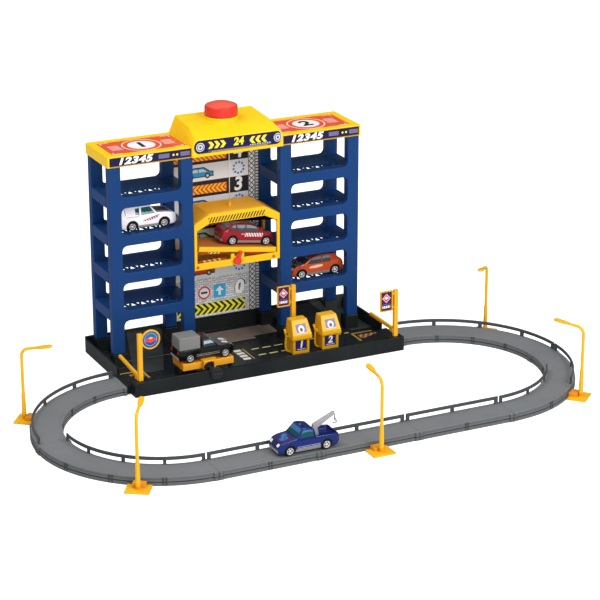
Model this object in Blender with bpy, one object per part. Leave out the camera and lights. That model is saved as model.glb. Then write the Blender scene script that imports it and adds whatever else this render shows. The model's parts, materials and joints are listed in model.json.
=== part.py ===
# Toy parking garage with lift, service yard, track loop, street lamps and five toy cars.
# Metres, +Z up. X runs along the front and Y goes to the back. The origin is the middle of the
# base's underside, and everything stands on z = 0.
import math

import bmesh
import bpy
from mathutils import Matrix, Vector

GAP = 0.0003                # clearance between pieces that touch
RUN_GAP = 0.0005            # clearance of a piece that slides or turns

# Base tray
BASE_W = 0.340
BASE_D = 0.1584
FLOOR_T = 0.003
RIM_H = 0.0171
RIM_T = 0.0025
BACK_H = 0.0200
PORT_FRONT = 0.012
PORT_BACK = 0.055
CORNER_L = 0.018            # solid corner block that carries a barrier post
RAMP_L = 0.034              # port ramp, from the track down to the floor
PEDESTAL_W = 0.0165
SLAB_FRONT = 0.100          # sloping slab in each ground bay

# Towers
TOWER_INSET = {"left": 0.0084, "right": 0.0176}    # from the tray's side to the tower
TOWER_W = 0.1022
TOWER_FRONT = 0.086
TOWER_BACK = 0.152
FRAME_D = 0.010
POST_W = 0.0145
FIRST_BEAM = 0.0588         # underside of the lowest beam
BEAM_H = 0.0124
LEVEL_PITCH = 0.0449
LEVELS = 4
BAY_H = 0.0367              # from the top deck to the roof
WINDOW_R = 0.006
DECK_T = 0.003
DECK_WALL = 0.003
RIB_COUNT = 6
RIB_W = 0.0024
SLOT_FRONT = 0.0035         # from the deck's front edge to its slotted band
SLOT_D = 0.0135
BAND_T = 0.0014              # deck thickness at the slotted band
ROOF_T = 0.013
ROOF_OUT = 0.0015
STICKER_T = 0.0006
STICKER_MARGIN = 0.009

# Lift hood
HOOD_LAP = 0.0020           # how far the hood laps over each inner roof edge
HOOD_FRONT = 0.0820
HOOD_WALL = 0.0022
HOOD_FACE_TOP = 0.2640
HOOD_BREAK_Y = 0.1080
HOOD_BREAK_Z = 0.2720
HOOD_TOP = 0.2755
HOOD_BACK = 0.1520
HOOD_SLOPE = 0.0085         # how far the side faces lean in
SIGN_T = 0.0008
SIGN_H = 0.0165
SIGN_Z = 0.2546
COLLAR_R = 0.0200

# Winch
KNOB_R = 0.01925
KNOB_H = 0.0118
KNOB_DOME = 0.0040
KNOB_ASIDE = 0.0014         # from the shaft's middle to the knob, to the left
KNOB_Y = 0.1260
SHAFT_R = 0.0030
DRUM_R = 0.0100
SPOOL_R = 0.0128
SPOOL_BASE = 0.2642
SPOOL_T = 0.0055
SPOOL_RIM = 0.0008
STRING_R = 0.0006
STRING_Y = 0.1080
PEG_R = 0.0015
PEG_Z = 0.2656
PEG_L = 0.0140

# Printed panel behind the lift
PANEL_T = 0.0020
PANEL_FOOT = 0.0240
PANEL_INSET = 0.0040        # behind the rear frames' front face

# Lift cage, front frame, tray and lever
CAGE_GAP = 0.0005           # to each tower
CAGE_FRONT = 0.0863
CAGE_FACE_T = 0.0024
CAGE_D = 0.0450
CAGE_BASE = 0.1058
CAGE_H = 0.0665
CAGE_SHOULDER = 0.0108
CAGE_SHOULDER_W = 0.0195
CAGE_POST = 0.0036
CAGE_TOP_BAR = 0.0115
CAGE_SILL = 0.0082          # height of the front frame's lower panel
CAGE_FLOOR_T = 0.0025
CAGE_ROOF_T = 0.0020
HUB_W = 0.0170
EYELET_R = 0.0018
EYELET_H = 0.0042
TRAY_END = 0.0048           # from the cage's side to the tray's end
TRAY_T = 0.0026
TRAY_PIVOT = 0.0165         # over the cage's underside
TRAY_TOP = 0.0046           # over the pivot
TRAY_TILT = math.radians(8.3)
TRAY_RIB_R = 0.0016
LIP_H = 0.0054
LEVER_OFFSET = 0.0016       # of the lever's shaft from the cage's middle
LEVER_Z = 0.0122            # over the cage's underside
LEVER_ANGLE = math.radians(24.0)
LEVER_KNOB_R = 0.0047
LEVER_KNOB_AT = 0.0070
LEVER_TIP_AT = 0.0052
LEVER_W = 0.0040
LEVER_T = 0.0030
LEVER_SHAFT_R = 0.0014

# Service platform and its knob
PLAT_X = -0.0695
PLAT_W = 0.0630
PLAT_D = 0.0310
PLAT_T = 0.0080
PLAT_FRONT = 0.0260
PLAT_FOOT = 0.0105
PLAT_WALL = 0.0020
PLAT_GUIDE_T = 0.0022
PLAT_GUIDE_H = 0.0120
KNOB2_ASIDE = 0.0025        # from the platform's middle to the knob, to the left
KNOB2_Z = 0.0139
KNOB2_R = 0.0072
KNOB2_T = 0.0034
KNOB2_SHAFT_R = 0.0022
CRANK_R = 0.0050            # throw of the eccentric pin
CRANK_ANGLE = math.radians(45.0)
CRANK_PIN_R = 0.0012
CRANK_T = 0.0016
YOKE_D = 0.0060
YOKE_W = 0.0150
YOKE_H = 0.0105

# Barriers and signs
POST_INSET = 0.0090         # from the tray's side to the barrier post's middle
POST_Y = 0.0060
POST_SIDE = 0.0052
POST_DEPTH = 0.0042
POST_TOP = {"left": 0.0734, "right": 0.0754}
BOOM_Y = 0.0125
BOOM_Z = {"left": 0.0204, "right": 0.0245}
BOOM_L = 0.0565
BOOM_W = 0.0034
BOOM_H = 0.0038
BOOM_HUB_R = 0.0026
BOOM_LIFT = {"left": math.radians(4.6), "right": 0.0}
EAR_T = 0.0014
BOARD_T = 0.0022
DISC_R = 0.0115
DISC_DROP = 0.0087          # of the disc's centre under the post's top
BOARD_W = 0.0165
BOARD_H = 0.0255
BOARD_OFF = 0.0016          # from the post's side to the board, bridged by two arms
ARM_H = 0.0030
YARD_SIGN_X = 0.0538
YARD_SIGN_Y = 0.0600
YARD_SIGN_TOP = 0.0808

# Fuel pumps
PUMP_X = (0.0520, 0.0900)
PUMP_Y = 0.0340
PUMP_W = 0.0210
PUMP_D = 0.0180
PUMP_BODY_H = 0.0188
PUMP_HEAD_W = 0.0260
PUMP_CROWN_W = 0.0205
PUMP_HEAD_H = 0.0222
PUMP_HEAD_OUT = 0.0035
HOSE_R = 0.0012
HOSE_OUT = 0.0026           # from the head's side to the hose's middle

# Track
ROAD_Z = 0.0095
ROAD_T = 0.0022
ROAD_W = 0.0335
PORT_LIP = 0.0050           # from the tray's side to the track's curve
ARC_Y = -0.0963
ARC_R = 0.1265              # to the middle of the road
ARC_STEPS = 10
TRACK_WALL = 0.0022
GROOVE_Z = 0.0036
GROOVE_H = 0.0012
GROOVE_D = 0.0008
FOOT_OUT = 0.0010
RAIL_H = 0.0038
RAIL_T = 0.0018
RAIL_TOP = 0.0085           # over the road
RAIL_END = 0.0012           # from the rail's end to the track joint
RAIL_PORT = 0.0030          # how much further a rail keeps from a port
RAIL_STOP = -28             # degrees round the right-hand bend, where the inner rail ends
RAIL_POST = 0.0040
BRACE_SHARES = (0.25, 0.5, 0.75)    # of a curve's length, where it has rail posts and wall ribs
BRACE_W = 0.0014
BRACE_PITCH = 0.0030
BRACE_OUT = 0.0003          # beyond the foot of the wall
BRACE_LOW = 0.0006
BRACE_HIGH = 0.0090
CLIP_L = 0.0050
CLIP_OUT = 0.0010
CLIP_IN = 0.0005             # how far the clips reach into the walls

# Street lamps
LAMP_EDGE = 0.0125          # from the track's foot to the lamp's post
LAMP_POST_R = 0.0028
LAMP_NECK_R = 0.0019
LAMP_NECK_Z = 0.0300
LAMP_TOP = 0.0840
LAMP_REACH = 0.0360
LAMP_RISE = 0.0060
LAMP_HEAD_L = 0.0170
LAMP_HEAD_W = 0.0062
LAMP_HEAD_T = 0.0026
LAMP_BASE_W = 0.0260
LAMP_BASE_D = 0.0210
LAMP_BASE_T = 0.0020
LAMP_CLIP_W = 0.0140
LAMP_CLIP_H = 0.0060
LAMP_ANGLES = {"a": 144.0, "b": 237.5, "d": -49.0, "e": 44.0}
LAMP_C_X = 0.0060

# Toy cars
WHEEL_R = 0.0053
WHEEL_T = 0.0046
AXLE_R = 0.0010
WELL_GAP = 0.0008
CAR_W = 0.0280
CAR_FLOOR = 0.0026          # the body's underside over the road
CAR_INSET = 0.0003          # of the body's sides inside the tyres' faces
CAR_TAPER_L = 0.0075        # length over which the body narrows towards its nose and tail
CAR_TAPER_W = 0.0022
CAR_BELT = 0.0155           # over the road, where the cabin begins
CABIN_H = 0.0110
CABIN_IN = 0.0026           # how far each side leans in at the roof
PARK_Y = 0.0970             # near side of a parked car
OFFROADER_AT = 0.0010       # each car's middle, to the right of the middle of what it stands on
ORANGE_HATCH_AT = 0.0047
PICKUP_AT = -0.0010
RED_HATCH_END = 0.0337      # from the tray's end to the car's middle
RED_HATCH_IN = 0.0080       # from the lift's front to the car's near side
TOW_TRUCK_X = -0.0705
PICKUP_IN = 0.0015          # from the platform's front to the car's near side
TOW_TRUCK_IN = 0.0012       # from the road's near edge to the car's near side
MAST_W = 0.0040
HOOK_R = 0.0009
CARGO_IN = 0.0020           # of the cargo box's sides inside the car's width

MM = 0.001


def material(name, colour, rough=0.45, metal=0.0):
    """A Principled material with the part's colour."""
    mat = bpy.data.materials.new(name)
    mat.use_nodes = True
    shader = mat.node_tree.nodes["Principled BSDF"]
    shader.inputs["Base Color"].default_value = (*colour, 1.0)
    shader.inputs["Roughness"].default_value = rough
    shader.inputs["Metallic"].default_value = metal
    mat.diffuse_color = (*colour, 1.0)
    return mat


def put_mesh(name, bm):
    """A new object holding a bmesh, not yet placed in a collection of the part."""
    bmesh.ops.recalc_face_normals(bm, faces=bm.faces)
    mesh = bpy.data.meshes.new(name)
    bm.to_mesh(mesh)
    bm.free()
    obj = bpy.data.objects.new(name, mesh)
    workshop.objects.link(obj)
    return obj


def box(low, high):
    """A block between two corners."""
    bm = bmesh.new()
    bmesh.ops.create_cube(bm, size=1.0)
    low, high = Vector(low), Vector(high)
    bmesh.ops.scale(bm, vec=high - low, verts=bm.verts)
    bmesh.ops.translate(bm, vec=(low + high) / 2, verts=bm.verts)
    return put_mesh("box", bm)


def rod(start, end, radius, sides=16, end_radius=None):
    """A cylinder or cone between two points."""
    start, end = Vector(start), Vector(end)
    along = end - start
    bm = bmesh.new()
    far = radius if end_radius is None else end_radius
    bmesh.ops.create_cone(bm, cap_ends=True, segments=sides, radius1=radius, radius2=far,
                          depth=along.length)
    turn = Vector((0, 0, 1)).rotation_difference(along).to_matrix().to_4x4()
    bmesh.ops.transform(bm, matrix=Matrix.Translation((start + end) / 2) @ turn, verts=bm.verts)
    return put_mesh("rod", bm)


def to_mesh(obj):
    """Turns a curve, or a mesh with modifiers, into a plain welded mesh."""
    graph = bpy.context.evaluated_depsgraph_get()
    mesh = bpy.data.meshes.new_from_object(obj.evaluated_get(graph))
    bm = bmesh.new()
    bm.from_mesh(mesh)
    bmesh.ops.remove_doubles(bm, verts=bm.verts, dist=1e-6)
    bm.to_mesh(mesh)
    bm.free()
    solid = bpy.data.objects.new(obj.name, mesh)
    solid.matrix_world = obj.matrix_world.copy()
    workshop.objects.link(solid)
    bpy.data.objects.remove(obj)
    return solid


PLANES = {
    "XY": Matrix(((1, 0, 0, 0), (0, 1, 0, 0), (0, 0, 1, 0), (0, 0, 0, 1))),
    "XZ": Matrix(((1, 0, 0, 0), (0, 0, -1, 0), (0, 1, 0, 0), (0, 0, 0, 1))),
    "YZ": Matrix(((0, 0, 1, 0), (1, 0, 0, 0), (0, 1, 0, 0), (0, 0, 0, 1))),
}


def slab(outline, plane, start, end):
    """A flat outline in a plane, given thickness from start to end along the plane's normal axis."""
    curve = bpy.data.curves.new("slab", "CURVE")
    curve.dimensions = "2D"
    curve.fill_mode = "BOTH"
    curve.extrude = abs(end - start) / 2
    spline = curve.splines.new("POLY")
    spline.points.add(len(outline) - 1)
    for point, (u, v) in zip(spline.points, outline):
        point.co = (u, v, 0.0, 1.0)
    spline.use_cyclic_u = True
    obj = bpy.data.objects.new("slab", curve)
    workshop.objects.link(obj)
    solid = to_mesh(obj)
    middle = (start + end) / 2
    shift = {"XY": (0, 0, middle), "XZ": (0, middle, 0), "YZ": (middle, 0, 0)}[plane]
    solid.data.transform(Matrix.Translation(shift) @ PLANES[plane])
    bm = bmesh.new()
    bm.from_mesh(solid.data)
    bmesh.ops.recalc_face_normals(bm, faces=bm.faces)
    bm.to_mesh(solid.data)
    bm.free()
    return solid


def tube(points, radii, sides_level=2):
    """A round bar along points, with a radius at each."""
    curve = bpy.data.curves.new("tube", "CURVE")
    curve.dimensions = "3D"
    curve.bevel_depth = 1.0
    curve.bevel_resolution = sides_level
    curve.use_fill_caps = True
    spline = curve.splines.new("POLY")
    spline.points.add(len(points) - 1)
    for point, place, radius in zip(spline.points, points, radii):
        point.co = (*place, 1.0)
        point.radius = radius
    obj = bpy.data.objects.new("tube", curve)
    workshop.objects.link(obj)
    return to_mesh(obj)


def arc_points(centre, radius, first, last, steps):
    """Points on a flat arc, with angles in degrees."""
    turn = [math.radians(first + (last - first) * i / steps) for i in range(steps + 1)]
    return [(centre[0] + radius * math.cos(a), centre[1] + radius * math.sin(a)) for a in turn]


def rounded(low, high, radius, steps=3):
    """A rectangle with round corners."""
    (u0, v0), (u1, v1) = low, high
    outline = []
    outline += arc_points((u1 - radius, v0 + radius), radius, -90, 0, steps)
    outline += arc_points((u1 - radius, v1 - radius), radius, 0, 90, steps)
    outline += arc_points((u0 + radius, v1 - radius), radius, 90, 180, steps)
    outline += arc_points((u0 + radius, v0 + radius), radius, 180, 270, steps)
    return outline


def combine(target, tools, operation):
    """Adds the tools to the target, or cuts them out of it."""
    for tool in tools:
        cut = target.modifiers.new(operation, "BOOLEAN")
        cut.operation = operation
        cut.solver = "EXACT"
        cut.object = tool
        tool.hide_render = True
        tool.display_type = "WIRE"
    solid = to_mesh(target)
    for tool in tools:
        bpy.data.objects.remove(tool)
    return solid


def join(target, *tools):
    """The target with the tools fused to it."""
    return combine(target, tools, "UNION")


def cut(target, *tools):
    """The target with the tools cut out of it."""
    return combine(target, tools, "DIFFERENCE")


def finish(obj, name, mat, origin=(0, 0, 0), smooth=30.0):
    """Names a piece, gives it its material, puts its origin on its joint, and files it with the part."""
    obj.name = name
    obj.data.name = name
    obj.data.transform(Matrix.Translation(-Vector(origin)))
    obj.location = origin
    obj.parent = stand
    obj.data.materials.clear()
    obj.data.materials.append(mat)
    obj.data.shade_smooth()
    obj.data.set_sharp_from_angle(angle=math.radians(smooth))
    workshop.objects.unlink(obj)
    garage.objects.link(obj)
    return obj


def turned(obj, pivot, axis, angle):
    """Turns a solid about an axis through a point."""
    pivot = Vector(pivot)
    spin = Matrix.Rotation(angle, 4, axis)
    obj.data.transform(Matrix.Translation(pivot) @ spin @ Matrix.Translation(-pivot))
    return obj


for old in list(bpy.data.objects):
    bpy.data.objects.remove(old)
garage = bpy.data.collections.new("toy_parking_garage")
workshop = bpy.data.collections.new("workshop")
bpy.context.scene.collection.children.link(garage)
bpy.context.scene.collection.children.link(workshop)
# Everything is drawn from the base's front edge; the stand moves the base's middle to the origin.
stand = bpy.data.objects.new("stand", None)
stand.location = (0, -BASE_D / 2, 0)
garage.objects.link(stand)

CHARCOAL = (0.020, 0.028, 0.030)
BLUE = (0.010, 0.085, 0.270)
YELLOW = (1.000, 0.680, 0.010)
AMBER = (0.950, 0.510, 0.020)
RED = (0.850, 0.040, 0.030)
GREY = (0.215, 0.230, 0.245)

# Levels and places that several pieces share
PEDESTAL_TOP = BACK_H - GAP
POST_FOOT = BACK_H
TOP_DECK = FIRST_BEAM + BEAM_H + (LEVELS - 1) * LEVEL_PITCH
ROOF_FOOT = TOP_DECK + BAY_H
ROOF_TOP = ROOF_FOOT + ROOF_T
TOWER_X = {"left": TOWER_INSET["left"] + TOWER_W / 2 - BASE_W / 2,
           "right": BASE_W / 2 - TOWER_INSET["right"] - TOWER_W / 2}
SHAFT_LEFT = TOWER_X["left"] + TOWER_W / 2
SHAFT_RIGHT = TOWER_X["right"] - TOWER_W / 2
CAGE_X = (SHAFT_LEFT + SHAFT_RIGHT) / 2
CAGE_HALF = (SHAFT_RIGHT - SHAFT_LEFT) / 2 - CAGE_GAP
TRAY_L = 2 * (CAGE_HALF - TRAY_END)
KNOB_X = CAGE_X - KNOB_ASIDE
KNOB2_X = PLAT_X - KNOB2_ASIDE
ARC_X = BASE_W / 2 + PORT_LIP


def beam_foot(level):
    """Underside of the beams of a level, counted from 0."""
    return FIRST_BEAM + level * LEVEL_PITCH


def base_tray():
    """The tray: floor, rim, ports with ramps, pedestals, ground slabs and barrier corners."""
    half = BASE_W / 2
    tray = box((-half, 0, 0), (half, BASE_D, BACK_H))
    well = box((-half + RIM_T, RIM_T, FLOOR_T), (half - RIM_T, BASE_D - RIM_T, 2 * BACK_H))
    low_front = box((-half - RIM_T, -RIM_T, RIM_H), (half + RIM_T, BASE_D - RIM_T, 2 * BACK_H))
    ports = [box((side * half - 2 * RIM_T, PORT_FRONT, FLOOR_T),
                 (side * half + 2 * RIM_T, PORT_BACK, 2 * BACK_H)) for side in (-1, 1)]
    tray = cut(tray, well, low_front, *ports)
    added = []
    for side in (-1, 1):
        inner = side * (half - CORNER_L)
        outer = side * (half - RIM_T / 2)
        added.append(box((min(inner, outer), RIM_T / 2, FLOOR_T / 2),
                         (max(inner, outer), PORT_FRONT, RIM_H)))
        lip = side * (ARC_X - GAP)
        foot = side * (half - RAMP_L)
        outline = [(lip, 0.0), (lip, ROAD_Z), (side * half, ROAD_Z), (foot, FLOOR_T), (foot, 0.0)]
        added.append(slab(outline, "XZ", PORT_FRONT + 2 * MM, PORT_BACK - 2 * MM))
    for centre in TOWER_X.values():
        for across in (-1, 1):
            outer = centre + across * TOWER_W / 2
            inner = outer - across * PEDESTAL_W
            for along in ((TOWER_FRONT, TOWER_FRONT + FRAME_D), (TOWER_BACK - FRAME_D, TOWER_BACK)):
                added.append(box((min(inner, outer), along[0] - 2 * MM, FLOOR_T / 2),
                                 (max(inner, outer), along[1] + 2 * MM, PEDESTAL_TOP)))
        reach = TOWER_W / 2 - POST_W - 2 * MM
        slope = [(SLAB_FRONT, FLOOR_T / 2), (SLAB_FRONT, FLOOR_T + MM),
                 (BASE_D - RIM_T / 2, RIM_H), (BASE_D - RIM_T / 2, FLOOR_T / 2)]
        added.append(slab(slope, "YZ", centre - reach, centre + reach))
    added.append(box((SHAFT_LEFT + MM, BASE_D - 2 * RIM_T - PANEL_T, FLOOR_T / 2),
                     (SHAFT_RIGHT - MM, BASE_D - RIM_T / 2, PANEL_FOOT - GAP)))
    for side in (-1, 1):
        edge = PLAT_X + side * (PLAT_W / 2 + RUN_GAP)
        far = edge + side * PLAT_GUIDE_T
        added.append(box((min(edge, far), PLAT_FRONT + PLAT_D / 3, FLOOR_T / 2),
                         (max(edge, far), PLAT_FRONT + PLAT_D * 2 / 3, PLAT_GUIDE_H)))
    tray = join(tray, *added)
    shaft_hole = rod((KNOB2_X, -RIM_T, KNOB2_Z), (KNOB2_X, 2 * RIM_T, KNOB2_Z),
                     KNOB2_SHAFT_R + GAP, 16)
    tray = cut(tray, shaft_hole)
    finish(tray, "base_tray", material("charcoal plastic", CHARCOAL, 0.35))


def tower_frame(side, place, front):
    """One ladder-shaped face of a tower: two posts and four beams round five bays."""
    centre = TOWER_X[side]
    left, right = centre - TOWER_W / 2, centre + TOWER_W / 2
    frame = box((left, front, POST_FOOT), (right, front + FRAME_D, ROOF_FOOT - GAP))
    holes = []
    for bay in range(LEVELS + 1):
        low = beam_foot(bay - 1) + BEAM_H if bay else POST_FOOT - 2 * WINDOW_R
        high = beam_foot(bay) if bay < LEVELS else ROOF_FOOT + 2 * WINDOW_R
        outline = rounded((left + POST_W, low), (right - POST_W, high), WINDOW_R)
        holes.append(slab(outline, "XZ", front - MM, front + FRAME_D + MM))
    frame = cut(frame, *holes)
    finish(frame, f"{side}_{place}_frame", material(f"blue {side} {place}", BLUE, 0.4))


def tower_deck(side, level):
    """A parking deck between the two frames: floor, side beams and a triangulated slot band."""
    centre = TOWER_X[side]
    left, right = centre - TOWER_W / 2, centre + TOWER_W / 2
    front = TOWER_FRONT + FRAME_D + GAP
    back = TOWER_BACK - FRAME_D - GAP
    foot = beam_foot(level)
    top = foot + BEAM_H
    deck = box((left, front, foot), (right, back, top))
    hollow = box((left + DECK_WALL, front - MM, foot - MM), (right - DECK_WALL, back + MM, top - DECK_T))
    band_left, band_right = left + POST_W, right - POST_W
    pitch = (band_right - band_left) / RIB_COUNT
    low, high = front + SLOT_FRONT, front + SLOT_FRONT + SLOT_D
    slots = []
    for i in range(RIB_COUNT):
        start = band_left + i * pitch
        up = [(start + RIB_W, low), (start + pitch - RIB_W, low), (start + pitch / 2, high - RIB_W)]
        slots.append(slab(up, "XY", foot - MM, top + MM))
        if i < RIB_COUNT - 1:
            middle = start + pitch
            down = [(middle - pitch / 2 + RIB_W, high), (middle, low + RIB_W),
                    (middle + pitch / 2 - RIB_W, high)]
            slots.append(slab(down, "XY", foot - MM, top + MM))
    thin = box((band_left, low - MM, foot - MM), (band_right, high + MM, top - BAND_T))
    deck = cut(deck, hollow, thin, *slots)
    finish(deck, f"{side}_deck_{level + 1}", material(f"blue deck {side} {level + 1}", BLUE, 0.45))


def tower_roof(side):
    """A roof tray with a shallow recess on top for the landing mark."""
    centre = TOWER_X[side]
    outer = 1 if side == "right" else -1
    edges = sorted((centre + outer * (TOWER_W / 2 + ROOF_OUT), centre - outer * TOWER_W / 2))
    low = (edges[0], TOWER_FRONT - ROOF_OUT, ROOF_FOOT)
    high = (edges[1], TOWER_BACK + ROOF_OUT, ROOF_TOP)
    roof = box(low, high)
    under = box((centre - TOWER_W / 2 + POST_W, TOWER_FRONT + FRAME_D, ROOF_FOOT - MM),
                (centre + TOWER_W / 2 - POST_W, TOWER_BACK - FRAME_D, ROOF_TOP - 2 * DECK_T))
    edge, by_hood = STICKER_MARGIN, HOOD_LAP + MM
    left_edge, right_edge = (by_hood, edge) if outer > 0 else (edge, by_hood)
    recess = slab(rounded((low[0] + left_edge, low[1] + edge), (high[0] - right_edge, high[1] - edge),
                          2 * MM), "XY", ROOF_TOP - STICKER_T, ROOF_TOP + MM)
    roof = cut(roof, under, recess)
    finish(roof, f"{side}_roof", material(f"yellow roof {side}", YELLOW, 0.35))


def hood_shell(shrink):
    """The hood's outer form, or with a wall's thickness taken off, its inside."""
    left, right = SHAFT_LEFT - HOOD_LAP + shrink, SHAFT_RIGHT + HOOD_LAP - shrink
    front, back = HOOD_FRONT + shrink, HOOD_BACK - shrink
    foot = (TOP_DECK if shrink else ROOF_FOOT)
    profile = [(front, foot), (front, HOOD_FACE_TOP - shrink), (HOOD_BREAK_Y, HOOD_BREAK_Z - shrink),
               (back, HOOD_TOP - shrink), (back, foot)]
    shell = slab(profile, "YZ", left, right)
    bm = bmesh.new()
    bm.from_mesh(shell.data)
    rise = HOOD_TOP - ROOF_TOP
    for side, edge in ((-1, left), (1, right)):
        normal = Vector((side * rise, 0, HOOD_SLOPE)).normalized()
        corner = Vector((edge, 0, ROOF_TOP))
        result = bmesh.ops.bisect_plane(bm, geom=bm.verts[:] + bm.edges[:] + bm.faces[:], dist=1e-7,
                                        plane_co=corner, plane_no=normal, clear_outer=True)
        rim = [e for e in result["geom_cut"] if isinstance(e, bmesh.types.BMEdge)]
        bmesh.ops.holes_fill(bm, edges=rim, sides=0)
    bmesh.ops.recalc_face_normals(bm, faces=bm.faces)
    bm.to_mesh(shell.data)
    bm.free()
    return shell


def lift_hood():
    """The yellow hood over the shaft, with its sign plate, knob collar and string peg."""
    shell = cut(hood_shell(0.0), hood_shell(HOOD_WALL))
    roof_front = TOWER_FRONT - ROOF_OUT - GAP
    over_roofs = [box((SHAFT_LEFT - 4 * HOOD_LAP, roof_front, ROOF_FOOT - MM),
                      (SHAFT_RIGHT + 4 * HOOD_LAP, HOOD_BACK + MM, ROOF_TOP + GAP))]
    shell = cut(shell, *over_roofs)
    collar = rod((KNOB_X, KNOB_Y, HOOD_BREAK_Z - HOOD_WALL / 2), (KNOB_X, KNOB_Y, HOOD_TOP + 1.2 * MM),
                 COLLAR_R, 32)
    half = (SHAFT_RIGHT - SHAFT_LEFT) / 2
    sign = slab(rounded((CAGE_X - half, SIGN_Z - SIGN_H / 2), (CAGE_X + half, SIGN_Z + SIGN_H / 2),
                        SIGN_H / 2 - 0.1 * MM, 6), "XZ", HOOD_FRONT - SIGN_T, HOOD_FRONT + HOOD_WALL / 2)
    shell = join(shell, collar, sign)
    bore = rod((KNOB_X, KNOB_Y, SPOOL_BASE), (KNOB_X, KNOB_Y, HOOD_TOP + 4 * MM), SHAFT_R + GAP, 16)
    room = rod((KNOB_X, KNOB_Y, SPOOL_BASE - MM), (KNOB_X, KNOB_Y, SPOOL_BASE + SPOOL_T + GAP),
               SPOOL_R + 2 * RUN_GAP, 24)
    shell = cut(shell, room, bore)
    peg_y = STRING_Y + PEG_R + STRING_R + GAP
    peg = rod((CAGE_X - PEG_L / 2, peg_y, PEG_Z), (CAGE_X + PEG_L / 2, peg_y, PEG_Z), PEG_R, 10)
    ears = [box((CAGE_X + s * PEG_L / 2 - MM, peg_y - 1.2 * PEG_R, PEG_Z - 1.2 * PEG_R),
                (CAGE_X + s * PEG_L / 2 + MM, peg_y + 1.2 * PEG_R, HOOD_BREAK_Z - HOOD_WALL / 2))
            for s in (-1, 1)]
    shell = join(shell, join(peg, *ears))
    finish(shell, "lift_hood", material("yellow hood", YELLOW, 0.35))


def winch():
    """The red knob with its shaft, and the spool that it turns under the hood."""
    foot = HOOD_TOP + 1.2 * MM + GAP
    face = foot + KNOB_H
    outline = [(0.0, SPOOL_BASE), (SHAFT_R, SPOOL_BASE), (SHAFT_R, foot), (KNOB_R, foot),
               (KNOB_R + 0.3 * MM, foot + MM), (KNOB_R, face - MM), (KNOB_R - 1.2 * MM, face),
               (KNOB_R * 0.7, face + KNOB_DOME * 0.5), (KNOB_R * 0.4, face + KNOB_DOME * 0.85),
               (0.0, face + KNOB_DOME)]
    bm = bmesh.new()
    verts = [bm.verts.new((KNOB_X + r, KNOB_Y, z)) for r, z in outline]
    edges = [bm.edges.new(pair) for pair in zip(verts, verts[1:])]
    bmesh.ops.spin(bm, geom=verts + edges, cent=(KNOB_X, KNOB_Y, 0), axis=(0, 0, 1),
                   angle=2 * math.pi, steps=24, use_merge=True)
    bmesh.ops.remove_doubles(bm, verts=bm.verts, dist=1e-6)
    knob = put_mesh("knob", bm)
    centre = (KNOB_X, KNOB_Y, foot)
    finish(knob, "winch_knob", material("red plastic knob", RED, 0.3), centre)
    spool = rod((KNOB_X, KNOB_Y, SPOOL_BASE), (KNOB_X, KNOB_Y, SPOOL_BASE + SPOOL_T), SPOOL_R, 24)
    waist = rod((KNOB_X, KNOB_Y, SPOOL_BASE + SPOOL_RIM), (KNOB_X, KNOB_Y, SPOOL_BASE + SPOOL_T - SPOOL_RIM),
                SPOOL_R + MM, 24)
    core = rod((KNOB_X, KNOB_Y, SPOOL_BASE), (KNOB_X, KNOB_Y, SPOOL_BASE + SPOOL_T), DRUM_R, 24)
    spool = cut(spool, cut(waist, core))
    spool = cut(spool, rod((KNOB_X, KNOB_Y, SPOOL_BASE - MM), (KNOB_X, KNOB_Y, SPOOL_BASE + SPOOL_T + MM),
                           SHAFT_R + GAP, 16))
    finish(spool, "winch_spool", material("white spool", (0.8, 0.8, 0.78), 0.5), centre)


def hoist_string():
    """The string from the cage's eyelet, over the hood's peg and on to the spool's winding."""
    bottom = CAGE_BASE + CAGE_H + EYELET_H + GAP
    bend = PEG_R + GAP + STRING_R
    peg_y = STRING_Y + bend
    rise = [(CAGE_X, STRING_Y, bottom + (PEG_Z - bottom) * i / 8) for i in range(9)]
    over = [(CAGE_X, peg_y - bend * math.cos(a), PEG_Z + bend * math.sin(a))
            for a in [math.radians(18 * k) for k in range(1, 6)]]
    top = PEG_Z + bend
    reach = DRUM_R + GAP + STRING_R
    run = Vector((KNOB_X - CAGE_X, KNOB_Y - peg_y))
    swing = math.acos(reach / run.length)
    heading = math.atan2(-run.y, -run.x) - swing
    touch = Vector((KNOB_X + reach * math.cos(heading), KNOB_Y + reach * math.sin(heading)))
    start = Vector((CAGE_X, peg_y))
    to_drum = [(*start.lerp(touch, step / 3), top) for step in range(1, 4)]
    route = rise + over + to_drum
    string = tube(route, [STRING_R] * len(route), 1)
    finish(string, "hoist_string", material("white cord", (0.85, 0.84, 0.80), 0.7))


def shaft_panel():
    """The printed panel that closes the shaft's back, held between the rear frames."""
    front = TOWER_BACK - FRAME_D + PANEL_INSET
    panel = box((SHAFT_LEFT + GAP, front, PANEL_FOOT), (SHAFT_RIGHT - GAP, front + PANEL_T, ROOF_FOOT - GAP))
    finish(panel, "shaft_panel", material("printed panel", (0.70, 0.72, 0.74), 0.4))


def cage_outline():
    """The lift's outer outline from the front, with its sloping shoulders."""
    low, high = CAGE_BASE, CAGE_BASE + CAGE_H
    x0, x1 = CAGE_X - CAGE_HALF, CAGE_X + CAGE_HALF
    return [(x0, low), (x1, low), (x1, high - CAGE_SHOULDER), (x1 - CAGE_SHOULDER_W, high),
            (x0 + CAGE_SHOULDER_W, high), (x0, high - CAGE_SHOULDER)]


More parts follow.
